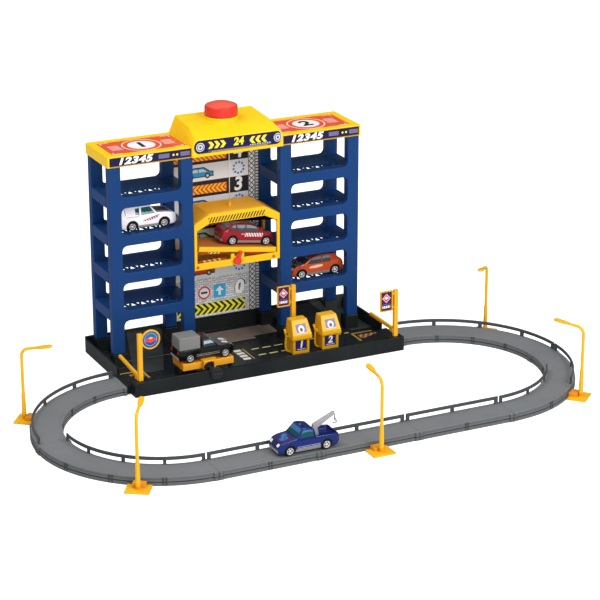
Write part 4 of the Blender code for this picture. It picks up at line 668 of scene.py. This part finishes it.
# The lower boards are sheets below them, painted red-brown as painted shade, with pale printed chevrons left
# in one stretch.
under = moulded("red-brown boards", SHADED_RED_BROWN, 0.4, 0.08)
under.paint((under.x + abs(under.z - 113.2)) % 6.4 < 3, (0.93, 0.58, 0.26))
under.paint(under.x.within(-24, 60).either(under.x < -46), SHADED_RED_BROWN)
boards = bmesh.new()
for a, b in ((-52, -16), (7, 42)):
    block(boards, (a, 12.6, 108.4), (b, 13.4, 115.2))
settle("lift_lower_boards", soften(boards, 0.1, 1), under, "lift", "orange_plastic")

lever = moulded("red lever", (0.74, 0.04, 0.025), 0.28, 0.04, coat=0.3)
cast("tray_lever", lever, "red_plastic", 0.6, 3)
pin = bmesh.new()
rod(pin, (-7.2, face + 1, 118.7), (-7.2, face - 0.2, 118.7), 1.7, 20)
dark = moulded("dark pivot", (0.1, 0.03, 0.02), 0.4)
settle("lift_pivot_pin", soften(pin, 0.2), dark, "lift", "orange_plastic")

# The service yard has an orange platform that rises when the dark knob in the front rim is turned.
# A bar grip on the dial and a small yellow stop on the platform's front edge finish it.
deck = moulded("orange platform", (0.96, 0.34, 0.012), 0.3, 0.05, coat=0.2)
# The platform's front faces are painted a brighter orange, as painted light.
deck.paint(deck.to_y < -0.7, (1, 0.46, 0.03))
inner = field(deck.x, deck.y, (-98.5, -50.5), (-40.5, -24.9))
deck.paint(deck.tops() * inner * 0.5, (0.84, 0.24, 0.02))
cast("service_platform", deck, "orange_plastic", 0.6)
step = bmesh.new()
block(step, (-78, -53.1, 18), (-60, -43, 20.9))
settle("platform_stop", soften(step, 0.4), tray, "platform", "yellow_plastic")
dial = moulded("dark dial", (0.018, 0.019, 0.021), 0.32, 0.06, coat=0.2)
cast("service_knob", dial, "dial_plastic", 0.4)
low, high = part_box("service_knob")
face = low.y / MM
grip = bmesh.new()
block(grip, (-78.2, face - 2.6, 12.8), (-65.8, face + 1, 15))
settle("service_dial_grip", soften(grip, 0.5, 3), dial, "service_dial", "dial_plastic")


# Two barriers stand at the ports and a sign post behind the pumps, in amber plastic. Their boards
# carry plain printed marks, and the booms turn between two ears on each post.
def amber(name, colour=(0.8, 0.39, 0.008), roughness=0.3, coat=0.15):
    """The plastic of the posts, the pumps and the lamps."""
    return moulded(name, colour, roughness, 0.05, coat=coat)


def signed(node, centre):
    """An amber post whose board has a dark field with a diamond over two bars."""
    face = amber(node.replace("_", " "))
    across, up = face.x - centre[0], face.z - centre[1]
    aside = abs(across)
    rhomb = aside + abs(up - 3.6)
    bars = up.within(-8.6, -5.6) * ((across + 60) % 2.7 < 2)
    face.marks(face.fronts() * (aside < 6.9) * (abs(up) < 11.4), (1, (0.075, 0.012, 0.06)),
               (rhomb < 5.6, (0.8, 0.72, 0.74)), (rhomb < 4.7, (0.62, 0.05, 0.1)),
               (aside * 0.7 + abs(up - 3.9) < 2.1, (0.86, 0.8, 0.8)),
               (bars * (aside < 5.2), (0.8, 0.8, 0.84)),
               (up.within(-4.4, -3.6) * (aside < 5.2), (0.08, 0.12, 0.42)))
    cast(node, face, "amber_plastic", 0.5, fine=0.12)


boom = amber("amber posts")
for side in ("left", "right"):
    cast(side + "_barrier_boom", boom, "amber_plastic", 0.5)
signed("right_barrier_post", (148.55, 62.65))
signed("pump_sign_post", (41.35, 68.05))
post = amber("left barrier post")
centre = (-148.1, 64.7)
aside, up = abs(post.x - centre[0]) * 0.8, post.z - centre[1]
post.marks(post.fronts() * disc(post.x, post.z, centre, 9.9), (1, (0.02, 0.13, 0.28)),
           (up < -2, (0.02, 0.07, 0.26)), (disc(post.x, post.z, centre, 7.6, 6.9), (0.24, 0.36, 0.52)),
           (aside + abs(up + 0.4) * 1.7 < 6.3, (0.72, 0.05, 0.04)),
           (aside + abs(up - 1.6) * 2 < 2.4, (0.8, 0.45, 0.42)))
cast("left_barrier_post", post, "amber_plastic", 0.5, fine=0.12)

# Two amber fuel pumps stand in the yard. Each has a body with a dark number field, a head with a
# sloping face and a gauge film, and a hose that hangs in a loop from its nozzle.
for number, middle in (("1", 52), ("2", 90)):
    pump = amber("pump " + number, (0.82, 0.42, 0.008), 0.28, 0.2)
    x, y, z = pump.axes
    across = x - middle
    aside = abs(across)
    bars = z.within(8.6, 9.8) * (aside < 5.4) * ((across + 40) % 2.1 < 1.5)
    pump.marks(pump.fronts() * (aside < 7.4) * z.within(7.4, 20), (1, (0.035, 0.02, 0.12)),
               (bars, (0.7, 0.7, 0.76)))
    slope = (pump.to_y < -0.6) * (pump.to_z > 0.1) * (aside < 6.6) * z.within(29.6, 39.8)
    pump.marks(slope, (1, (0.2, 0.16, 0.36)), (disc(x, z, (middle, 34.2), 4), (0.72, 0.72, 0.7)),
               (disc(x, z, (middle, 33.6), 2), (0.1, 0.08, 0.12)), (z.within(29.6, 30.8), (0.55, 0.52, 0.5)))
    cast("fuel_pump_" + number, pump, "amber_plastic", 0.9, 3, 0.15)
    figure("pump_number_" + number, number, 11.8, (middle, -44.8, 14.8), white_film, "printed_panel", 0.15,
           0.035)
    beads = bmesh.new()
    for height in (23.2, 25):
        block(beads, (middle - 12.6, -48.9, height), (middle + 12.6, -48.4, height + 0.6))
    settle(f"pump_{number}_beads", soften(beads, 0.1), pump, "root", "amber_plastic")

# The track is seven grey snap-together pieces with a channel section. The road has a matt moulded
# grain and wheel wear. The guard rails, their posts, the walls and the ribs are painted darker as painted
# shade.
ARC_X = 175
ARC_Y = -175.5
ARC_R = 126.5
QUARTER = ARC_R * pi / 2
RIM = 14.95
JOINT = 0.15
RAIL_END = 1.2
PORT = 3
CLIP = 4.9
outer = [(17.75, 0), (17.75, 3.6), (16.95, 3.6), (16.95, 4.8), (17.75, 4.8), (16.9, 9.1), (16.45, 9.5)]
channel = outer + [(-u, v) for u, v in outer[::-1]] + [(-14.55, 0), (-14.55, 7.3), (14.55, 7.3), (14.55, 0)]

road = moulded("grey track", (0.16, 0.168, 0.176), 0.52, 0.06, 0.00004)
x, y, z = road.axes
wear = road.noise(55, 4)
road.paint(road.tops() * z.within(9.2, 9.8) * (wear * 0.55), (0.192, 0.2, 0.207))
beyond, ahead = (abs(x) - ARC_X).math("MAXIMUM", 0), y - ARC_Y
lane = abs((beyond * beyond + ahead * ahead).math("SQRT") - ARC_R)
road.paint(lane.within(13.4, 13.9) * (z > 9.2) * 0.5, (0.1, 0.105, 0.11))
# The guard rails and their posts are painted darker, as painted shade.
road.paint((z > 10.2).either((z > 9.7) * (lane < 16)), (0.072, 0.078, 0.084))
# The walls' side faces below the road are painted darker, as painted shade.
road.paint((1 - (road.to_z > 0.5)) * (z < 9.3) * 0.9, (0.11, 0.115, 0.12))
# The groove near the walls' foot is painted darker as painted shade, and a thin dark line runs along the
# walls' middle.
road.marks(1 - road.tops(), (z.within(3.5, 4.9), (0.045, 0.048, 0.052)),
           (z.within(7, 7.5), (0.07, 0.075, 0.08)))
# The ribs and clip edges are moulded in a darker grey, as painted shade in the narrow gaps between them.
shaded = moulded("track ribs", (0.05, 0.054, 0.058), 0.5, 0.06, 0.00004)


def strip(middle, half, low, high, ease=0.3):
    """A rectangle with eased corners: across the road and up."""
    left, right = middle - half, middle + half
    return [(left + ease, low), (right - ease, low), (right, low + ease), (right, high - ease),
            (right - ease, high), (left + ease, high), (left, high - ease), (left, low + ease)]


def sweep(mesh, section, path, start, end, steps=1):
    """Carries a closed section along a path, between two distances, and closes its ends."""
    rings = []
    for k in range(steps + 1):
        spot, out = path(start + (end - start) * k / steps)
        rings.append([mesh.verts.new((spot + out * u + Vector((0, 0, v))) * MM) for u, v in section])
    for ring, after in zip(rings, rings[1:]):
        for k in range(len(section)):
            mesh.faces.new((ring[k - 1], ring[k], after[k], after[k - 1]))
    mesh.faces.new(rings[0])
    mesh.faces.new(rings[-1][::-1])


def round_arc(side, first):
    """The path of a quarter of the loop, from an angle in degrees."""
    def path(distance):
        turn = radians(first) + distance / ARC_R
        out = Vector((cos(turn), sin(turn), 0))
        return Vector((side * ARC_X, ARC_Y, 0)) + out * ARC_R, out
    return path


def along_front(first):
    """The path of a straight, from a place along X."""
    return lambda distance: (Vector((first + distance, ARC_Y - ARC_R, 0)), Vector((0, -1, 0)))


def track_piece(part, path, length, rails, stops, bare=()):
    """A piece of track: channel, guard rails on posts, wall ribs and the clips at its ends."""
    mesh, ribs = bmesh.new(), bmesh.new()
    steps = 1 if "straight" in part else 48
    sweep(mesh, channel, path, JOINT, length - JOINT, steps)
    for across, start, end in rails:
        sweep(mesh, strip(across * RIM, 0.9, 14.2, 18), path, start + RAIL_END, end - RAIL_END, steps)
        for stop in [start + 3.2, end - 3.2] + [s for s in stops if start + 8 < s < end - 8]:
            sweep(mesh, strip(across * RIM, 0.88, 8.5, 16, 0.2), path, stop - 2, stop + 2)
    for wall in (-1, 1):
        for stop in [s for s in stops if (wall, s) not in bare]:
            for rib in (stop - 1.5, stop + 1.5):
                sweep(ribs, strip(wall * 16.9, 1.15, 0.6, 9), path, rib - 0.7, rib + 0.7)
        for start, end in ((JOINT, CLIP), (length - CLIP, length - JOINT)):
            sweep(mesh, strip(wall * 17.5, 1.2, 0, 9), path, start, end)
            for edge in (start + 0.3, end - 0.7):
                sweep(ribs, strip(wall * 17.5, 1.25, 0.1, 9, 0.1), path, edge, edge + 0.4)
    for label, made, finish, nodes in (("moulding", mesh, road, (part,)), ("ribs", ribs, shaded, ())):
        ops.recalc_face_normals(made, faces=made.faces)
        settle(f"{part}_{label}", made, finish, "root", "track_plastic", nodes, 30)


quarters = [QUARTER * share for share in (0.25, 0.5, 0.75)]
middle_bare = ((1, quarters[1]),)
for number, side, first, rails, bare in (
        (1, -1, 90, ((1, PORT, QUARTER),), ()),
        (2, -1, 180, ((-1, 0, QUARTER),), ()),
        (3, 1, -90, ((-1, 0, 136.9), (1, 99.3, QUARTER)), middle_bare),
        (4, 1, 0, ((1, 0, QUARTER - PORT),), middle_bare)):
    track_piece(f"track_curve_{number}", round_arc(side, first), QUARTER, rails, quarters, bare)
length = 2 * ARC_X / 3
for number in range(3):
    track_piece(f"track_straight_{number + 1}", along_front(-ARC_X + number * length), length,
                ((-1, 0, length),), [length / 2], ((1, length / 2),) if number == 1 else ())

# Five amber street lamps clip on to the track's outer edge: a square plate, a thick foot, a thin
# bent neck and a flat head over the road.
lamp_plastic = amber("amber lamps", (0.82, 0.43, 0.008))
lamp_plastic.paint(lamp_plastic.z.within(2.3, 6.4) * 0.8, (0.72, 0.24, 0.015))
for letter in "abcde":
    cast("street_lamp_" + letter, lamp_plastic, "amber_plastic", 0.2, 1)

# The five toy cars have painted die-cast bodies on dark chassis. Each is built with its nose to +X
# over its own ground and then carried to its place. Windows, lamps and bumpers follow its profile.
HALF = 13.7
BELT = 15.5
SILL = 6.5
CABIN = 11
LEAN = 2.6
TAPER_L = 7.5
TAPER_W = 2.2
WHEEL = 5.3
ARCH = 6.1
FLOOR = 2.6
BED_RIM = 1.7
BED_DEPTH = 4.2
PANE = 0.3
SEAL = 0.45
AXLE_HALF = 12.5
WHEEL_INSIDE = 9.4
TYRE = [(0, 0), (3.2, 0), (4.8, 0), (5.3, 0.5), (5.3, 4.1), (5, 4.5), (4.3, 4.6), (3.75, 4.4), (3.7, 3.3),
        (0, 3.3)]
WHEEL_RIM = [(3.72, 3.2), (3.72, 4.35), (3.35, 4.45), (3, 4), (2.95, 3.2), (3.72, 3.2)]
HUB = [(0, 3), (1, 3), (1, 4.1), (0.6, 4.4), (0, 4.4)]

rubber = Finish("tyre rubber", (0.018, 0.018, 0.019), 0.62)
rubber.polish(rubber.noise(900, 2) * 0.25 + 0.5)
chrome = Finish("bright wheel rims", (0.78, 0.79, 0.8), 0.24, metallic=0.35)
chrome.polish(chrome.noise(700, 3) * 0.22 + 0.14)
chassis_plastic = moulded("car chassis", (0.03, 0.031, 0.034), 0.45)
trim_metal = moulded("grey bumpers", (0.34, 0.34, 0.35), 0.3, coat=0.4)
lens = moulded("clear lamps", (0.82, 0.84, 0.84), 0.12, coat=1)
tail_lens = moulded("red-brown lamps", (0.42, 0.03, 0.018), 0.16, coat=1)
canopy_grey = moulded("grey canopy", (0.225, 0.225, 0.22), 0.5, 0.1)
crane_grey = moulded("grey crane", (0.34, 0.33, 0.35), 0.34, 0.08, coat=0.3)


def in_car(finish, home):
    """A finish's place in a car's own coordinates."""
    local = finish.node("Mapping", {"vector_type": "TEXTURE"}, {
        "Vector": finish.place, "Location": home.to_translation(), "Rotation": home.to_euler()})
    axes = finish.node("SeparateXYZ", {}, {"Vector": local.outputs[0]})
    return [Value(finish, axes.outputs[k]) * 1000 for k in "XYZ"]


def glass(name, low, high, split, home):
    """Glass in two colours that meet at a height over the ground: a dark tint, and a lighter painted
    reflection.
    """
    finish = moulded(name, low, 0.1, 0.04, 0.000002, coat=1)
    height = in_car(finish, home)[2]
    # The lighter of the two colours is a painted reflection.
    finish.paint(height + finish.noise(220, 2, (1, 1, 2.5)) * 3 > split + 1.5, high)
    return finish


def painted(name, colour, home, axles, flare_and_shade_radius, metal=0, sill=(0.3, 0.28, 0.27)):
    """Car paint with clear coat and grey along the sills, dark round the wheels for the dark arch flares and
    for painted shade in the wheel wells.
    """
    finish = Finish(name, colour, 0.3, metallic=metal, coat=1)
    finish.put("Coat Roughness", 0.07)
    deep, light = [tuple(c * share for c in colour) for share in (0.86, 1.1)]
    finish.cover(finish.mix(finish.noise(45, 3), deep, light))
    finish.polish(finish.noise(1500, 2) * 0.14 + 0.24)
    u, v, w = in_car(finish, home)
    finish.paint(u.within(axles[0] + 6.5, axles[1] - 6.5) * (w < 5.9), sill)
    # Dark discs round the wheels: the dark arch flares, and painted shade in the wheel wells.
    for axle in axles:
        finish.paint(disc(u, w, (axle, WHEEL), flare_and_shade_radius), (0.02, 0.02, 0.022))
    return finish, u, v, w


def side_in(u, w, ends):
    """How far the body's side lies inside its widest line."""
    inset = max(0, w - BELT) * LEAN / CABIN + max(0, SILL - w) * 0.25
    near = max(0, u - (ends[1] - TAPER_L), (ends[0] + TAPER_L) - u)
    return inset + near * TAPER_W / TAPER_L


def shell(profile, axles, ends, bed=None):
    """A car's body from its side profile: arches, tapered ends, a cabin that leans in, a sunk bed."""
    outline = list(profile[:-1])
    low = asin((FLOOR - WHEEL) / ARCH)
    for axle in sorted(axles, reverse=True):
        for k in range(15):
            turn = low + (pi - 2 * low) * k / 14
            outline.append((axle + ARCH * cos(turn), WHEEL + ARCH * sin(turn)))
    outline.append(profile[-1])
    mesh = bmesh.new()
    prism(mesh, [(u, -HALF, w) for u, w in outline], (0, 2 * HALF, 0))
    cuts = [((0, 0, height), (0, 0, 1)) for height in (BELT, SILL)]
    cuts += [((along, 0, 0), (1, 0, 0)) for along in (ends[1] - TAPER_L, ends[0] + TAPER_L)]
    for point, normal in cuts:
        ops.bisect_plane(mesh, geom=mesh.verts[:] + mesh.edges[:] + mesh.faces[:], dist=1e-7,
                         plane_co=Vector(point) * MM, plane_no=normal)
    for vert in mesh.verts:
        way = MM if vert.co.y > 0 else -MM
        vert.co.y -= way * side_in(vert.co.x / MM, vert.co.z / MM, ends)
    ops.remove_doubles(mesh, verts=mesh.verts, dist=2e-5)
    ops.recalc_face_normals(mesh, faces=mesh.faces)
    if bed:
        tops = [f for f in mesh.faces
                if f.normal.z > 0.95 and bed[0] < f.calc_center_median().x / MM < bed[1]]
        ops.inset_region(mesh, faces=tops, thickness=BED_RIM * MM)
        pull(mesh, tops, (0, 0, -BED_DEPTH))
        ops.delete(mesh, geom=[f for f in tops if f.is_valid], context="FACES_ONLY")
    spots = [Vector((axle, 0, WHEEL)) * MM for axle in axles]

    def by_arch(edge):
        """True for an edge on a wheel arch or the underside."""
        near = [min((Vector((v.co.x, 0, v.co.z)) - s).length for s in spots) < (ARCH + 0.2) * MM
                for v in edge.verts]
        return any(near) or max(v.co.z for v in edge.verts) < 3.6 * MM

    for width, steps, arches in ((0.9, 3, False), (0.25, 1, True)):
        bevel(mesh, [e for e in mesh.edges if e.is_manifold and e.calc_face_angle() > radians(24)
                     and by_arch(e) == arches], width, steps, 0.55)
    return mesh


def pane(mesh, corners, proud):
    """Adds a thin pane over a flat polygon, standing a little proud of it."""
    corners = [Vector(c) for c in corners]
    normal = (corners[1] - corners[0]).cross(corners[2] - corners[0]).normalized()
    prism(mesh, [c - normal * PANE for c in corners], normal * (PANE + proud))


def on_flank(mesh, polygon, ends, proud=0.12):
    """Adds a pane on both sides of the body, from a polygon given along the car and up."""
    for way in (-1, 1):
        ring = [(u, way * (HALF - side_in(u, w, ends)), w) for u, w in polygon]
        pane(mesh, ring[::-way], proud)


def on_slope(mesh, line, ends, sides, trim=0.1, proud=0.12):
    """Adds a pane on a sloping face of the profile, between two lines along the car."""
    low, high = Vector(line[0]), Vector(line[1])
    first, last = low.lerp(high, trim), low.lerp(high, 1 - trim)
    for left, right in sides:
        ring = [Vector((spot.x, share * (HALF - side_in(*spot, ends)), spot.y)) for spot, share in
                ((first, left), (first, right), (last, right), (last, left))]
        normal = (ring[1] - ring[0]).cross(ring[2] - ring[1])
        outward = normal.z > 0 if abs(normal.z) > 1e-3 else normal.x * first.x > 0
        pane(mesh, ring if outward else ring[::-1], proud)


def car(name, home, profile, axles, paint, slot, windows, lines, tint_and_reflection, bed=None):
    """Builds a car at its home. Screens and lamps lie on lines of the profile, given by its points."""
    ends = (min(u for u, w in profile), max(u for u, w in profile))
    screens, (front, rear) = [[(profile[a], profile[b]) for a, b in kind] for kind in lines]
    pane_glass = glass(name.replace("_", " ") + " windows", *tint_and_reflection, home)
    base, panes, seals, bumpers, bulbs, tails, grille = [bmesh.new() for _ in range(7)]
    block(base, (ends[0] + 1.8, -8.3, FLOOR - 0.1), (ends[1] - 1.8, 8.3, 10.5))
    for polygon in windows:
        middle = [sum(point[k] for point in polygon) / len(polygon) for k in (0, 1)]
        edge = [[c + (SEAL if c > m else -SEAL) for c, m in zip(point, middle)] for point in polygon]
        on_flank(panes, polygon, ends)
        on_flank(seals, edge, ends, 0.05)
    for line in screens:
        on_slope(panes, line, ends, ((-0.9, 0.9),))
    wide = HALF - TAPER_W - 0.6
    for end, way in zip(ends, (-1, 1)):
        inner, outer = sorted((end - way * 3, end + way * 0.25))
        block(bumpers, (inner, -wide, 4), (outer, wide, 6.8))
    on_slope(bulbs, front, ends, ((0.5, 0.86), (-0.86, -0.5)), 0.16, 0.2)
    on_slope(tails, rear, ends, ((0.62, 0.92), (-0.92, -0.62)), 0.16, 0.2)
    on_slope(grille, front, ends, ((-0.44, 0.44),), 0.22, 0.15)
    for label, mesh, finish, kind in (
            ("bodywork", shell(profile, axles, ends, bed), paint, slot),
            ("chassis", soften(base, 0.4), chassis_plastic, "dial_plastic"),
            ("windows", panes, pane_glass, "dial_plastic"),
            ("window_seals", seals, chassis_plastic, "dial_plastic"),
            ("bumpers", soften(bumpers, 0.6, 3), trim_metal, "dial_plastic"),
            ("headlamps", bulbs, lens, "white_plastic"),
            ("tail_lamps", tails, tail_lens, "red_plastic"),
            ("grille", grille, chassis_plastic, "dial_plastic")):
        nodes = (name + "_body",) if label == "bodywork" else ()
        settle(f"{name}_{label}", mesh, finish, name, kind, nodes, home=home)
    across = (home.to_3x3() @ Vector((0, 1, 0))).normalized()
    for axle in axles:
        hub = home @ (Vector((axle, 0, WHEEL)) * MM) / MM
        tyres, rims = bmesh.new(), bmesh.new()
        rod(tyres, hub - across * AXLE_HALF, hub + across * AXLE_HALF, 1, 12)
        for out in (-across, across):
            inner = hub + out * WHEEL_INSIDE
            lathe(tyres, TYRE, inner, out, 28)
            lathe(rims, WHEEL_RIM, inner, out, 28)
            lathe(rims, HUB, inner, out, 16)
            turn = out.to_track_quat("Z", "X").to_matrix().to_4x4()
            for spoke in range(5):
                made = block(rims, (0.7, -0.42, 3.4), (3.1, 0.42, 4))
                spin = Matrix.Rotation(radians(72 * spoke + 18), 4, "Z")
                ops.transform(rims, matrix=shift(*inner) @ turn @ spin, verts=made)
        wheels = f"{name}_{'left' if axle * across.y < 0 else 'right'}"
        settle(wheels + "_tyres", tyres, rubber, wheels + "_axle", "wheel_rubber", (wheels + "_wheels",))
        settle(wheels + "_rims", rims, chrome, wheels + "_axle", "white_plastic")
    return pane_glass


def at(x, y, ground, left=False):
    """The place of a car whose middle, ground and heading are given."""
    return shift(x, y, ground) @ Matrix.Rotation(pi if left else 0, 4, "Z")


HATCH = [(-33, 5), (-33.5, 12), (-31.2, 17), (-27.5, 19.2), (-22, 25), (-14, 26), (-6, 26), (1.5, 25.4),
         (8, 23.5), (18, 17.5), (25, 16.1), (31, 13.8), (33.5, 10), (33.5, 4), (31, FLOOR), (-31, FLOOR)]
OFFROAD = [(-34.5, 5), (-34.5, 14), (-33.2, 26), (-31, 28), (2, 28), (10, 18.5), (21, 17.8), (30, 16.5),
           (33.6, 13), (34.5, 4.5), (32, FLOOR), (-32, FLOOR)]
PICKUP = [(-34, 5), (-34.5, 9), (-33.2, 15.5), (-6, 15.5), (-5, 23.8), (-3.5, 24.5), (6, 24.5), (14, 16.8),
          (24, 15.8), (32, 14), (34.5, 10), (34.5, 5), (32, FLOOR), (-32, FLOOR)]
TOW = [(-35.5, 5), (-35.5, 13), (-33.4, 16), (-8, 16.5), (-6, 25), (3, 27.3), (7, 27.3), (15, 17.5),
       (24, 16.2), (32, 14), (35.5, 10), (35.5, 4.5), (33, FLOOR), (-33, FLOOR)]
hatch_windows = ([(-24.3, 18.6), (-17.2, 17.4), (-17.4, 23.6), (-20.6, 23.4)],
                 [(-15.6, 17.2), (-5, 16.9), (-5.2, 24.2), (-15.4, 24)],
                 [(-3.4, 16.8), (15, 17.3), (7, 22.5), (1.2, 23.9), (-3.6, 24.2)])
hatch_lines = (((9, 8), (3, 4)), ((12, 11), (1, 2)))

home = at(-109.5, 31.8, 161.3)
axles = (-20.5, 18.5)
white, u, v, w = painted("white off-road car", (0.88, 0.86, 0.9), home, axles, 7.3)
swoosh = u.within(-7.5, 11.5) * (abs(w - u * 0.16 - 11.9) < 1.7 - abs(u - 2) * 0.1)
white.paint(swoosh * ((u + w * 0.8 + 60) % 3.3 < 2.3), (0.62, 0.03, 0.06))
white.paint(u.within(3, 12.5) * (abs(w - u * 0.2 - 13) < 0.45), (0.05, 0.03, 0.06))
white.paint(field(u, w, (-28, 16.2), (-12, 17)), (0.62, 0.4, 0.44))
white.marks(white.to_z > 0.7, (u.within(11.5, 27) * (abs(v) < 7.5), (0.2, 0.17, 0.19)),
            (u.within(-30, -2) * (abs(v) < 8.5) * (w > 26.5), (0.1, 0.06, 0.13)))
car("offroader", home, OFFROAD, axles, white, "white_paint",
    ([(-28.6, 18.4), (-12, 18.4), (-12, 25.7), (-28.6, 25.7)],
     [(-8.6, 18.4), (6.6, 18.8), (1, 25.7), (-8.6, 25.7)]),
    (((5, 4), (1, 2)), ((9, 8), (0, 1))), ((0.3, 0.42, 0.44), (0.01, 0.085, 0.085), 20.6))

home = at(106, 31.8, 71.5, True)
axles = (-21.5, 22.5)
orange_car, u, v, w = painted("orange hatchback", (0.62, 0.078, 0.014), home, axles, 7, 0.25)
# A pale band along each side is a painted highlight.
orange_car.paint(u.within(-5, 12) * (abs(w - 13 + u * 0.05) < 1.9 - abs(u - 3) * 0.09), (0.92, 0.62, 0.5))
orange_car.marks(orange_car.to_z > 0.6, (u.within(17, 31) * (abs(v) < 10.5), (0.075, 0.022, 0.016)),
                 (u.within(19, 29) * ((u * 0.9 + abs(v)) % 5.2 < 1.5), (0.62, 0.55, 0.5)))
car("orange_hatch", home, HATCH, axles, orange_car, "orange_paint", hatch_windows[1:], hatch_lines,
    ((0.05, 0.055, 0.06), (0.2, 0.22, 0.24), 21))
corner = bmesh.new()
on_flank(corner, [(-26.8, 17.8), (-18.5, 17.2), (-18.5, 23.2), (-22.8, 23)], (-33.5, 33.5), 0.2)
settle("orange_hatch_side_lamps", corner, tail_lens, "orange_hatch", "red_plastic", home=home)

home = TILTED @ at(15.8, 29.1, 4.9)
axles = (-20, 23.5)
red_car, u, v, w = painted("red hatchback", (0.36, 0.006, 0.018), home, axles, 7, 0.25)
bars = u.within(-5, 18) * (abs(w - 12.7) < 2.2) * ((u + w * 0.6 + 50) % 3.4 < 2.3)
red_car.paint(bars, (0.86, 0.78, 0.78))
red_car.paint(field(u, w, (-10, 13.1), (-4, 13.9)), (0.74, 0.62, 0.62))
car("red_hatch", home, HATCH, axles, red_car, "red_paint", hatch_windows, hatch_lines,
    ((0.055, 0.075, 0.085), (0.24, 0.28, 0.3), 20.5))

home = at(-70.5, -37.7, 18.8)
axles = (-20.5, 23)
black_car, u, v, w = painted("black pickup", (0.0045, 0.005, 0.006), home, axles, 6.5,
                             sill=(0.012, 0.012, 0.013))
black_car.paint(u.within(-13, 16) * w.within(6.6, 7.1).either(w.within(8.4, 8.8)), (0.42, 0.42, 0.4))
# Pale patches on the bonnet's top are a painted highlight.
black_car.paint((black_car.to_z > 0.6) * u.within(22, 29) * abs(v).within(2, 7.5), (0.66, 0.72, 0.74))
car("pickup", home, PICKUP, axles, black_car, "black_paint",
    ([(-3.4, 16.9), (11.2, 17.1), (5.6, 23), (-3.2, 23)],), (((7, 6),), ((10, 9), (1, 2))),
    ((0.03, 0.05, 0.07), (0.38, 0.5, 0.58), 19.6))
canopy = bmesh.new()
for vert in block(canopy, (-33, -12, 14.8), (-7, 12, 30)):
    if vert.co.z > 20 * MM:
        vert.co.y *= 0.93
soften(canopy, 1.2, 3)
for rib in range(7):
    block(canopy, (-31.5 + rib * 3.8, -11.85, 15.2), (-31 + rib * 3.8, 11.85, 20))
settle("pickup_canopy", canopy, canopy_grey, "pickup", "track_plastic", home=home)

home = at(-70.5, -303.55, 9.8, True)
axles = (-20, 22.5)
blue_car, u, v, w = painted("blue tow truck", (0.005, 0.02, 0.17), home, axles, 6.9, 0.3)
blue_car.paint(u.within(-12.5, 14) * w.within(6.4, 6.9).either(w.within(8.1, 8.5)), (0.6, 0.62, 0.8))
# Light blue patches on the bonnet's top are a painted highlight.
bonnet = (blue_car.to_z > 0.6) * u.within(17.5, 30)
bonnet_highlight = disc(u, v, (24.5, 2), 4.6).either(disc(u, v, (21, -4.5), 3.4))
blue_car.paint(bonnet * bonnet_highlight * (blue_car.noise(330, 3) > 0.44), (0.03, 0.2, 0.55))
truck_glass = car(
    "tow_truck", home, TOW, axles, blue_car, "blue_paint",
    ([(-4.6, 17.8), (11.8, 17.9), (6.4, 25.2), (3, 25.4), (-4.2, 23.9)],),
    (((7, 6), (3, 4)), ((10, 9), (1, 2))), ((0.006, 0.07, 0.085), (0.05, 0.15, 0.33), 22.5), (-33, -8))
crane = bmesh.new()
mast = [(-8.5, 12), (-16.5, 12), (-15, 20.6), (-35.2, 32.2), (-34, 35.6), (-9.5, 25)]
prism(crane, [(along, -2, up) for along, up in mast], (0, 4, 0))
ops.recalc_face_normals(crane, faces=crane.faces)
soften(crane, 0.5)
pin_half = Vector((0, 2.2, 0))
for share in (0.18, 0.42, 0.66):
    spot = Vector((-13.5, 0, 23.2)).lerp(Vector((-34.5, 0, 34.8)), share)
    rod(crane, spot - pin_half, spot + pin_half, 0.5, 10)
hook = [Vector((along, 0, up)) for along, up in
        ((-34.3, 35), (-35.2, 32), (-35.6, 29), (-36, 25), (-37.4, 24.3), (-38, 23.2),
         (-37.4, 22), (-36, 21.5), (-34.4, 21.8), (-33.7, 22.6))]
for a, b in zip(hook, hook[1:]):
    rod(crane, a, b, 0.8, 10)
for a in hook[1:-1]:
    made = ops.create_uvsphere(crane, u_segments=10, v_segments=6, radius=0.8 * MM)
    ops.translate(crane, vec=a * MM, verts=made["verts"])
rod(crane, (-36.1, -1.1, 26.2), (-36.1, 1.1, 26.2), 1.3, 12)
settle("tow_truck_crane", crane, crane_grey, "tow_truck", "track_plastic", home=home)
beacon = bmesh.new()
rod(beacon, (5, 0, 27), (5, 0, 28.4), 1.2, 16, 0.9)
settle("tow_truck_beacon", soften(beacon, 0.3), truck_glass, "tow_truck", "dial_plastic", home=home)
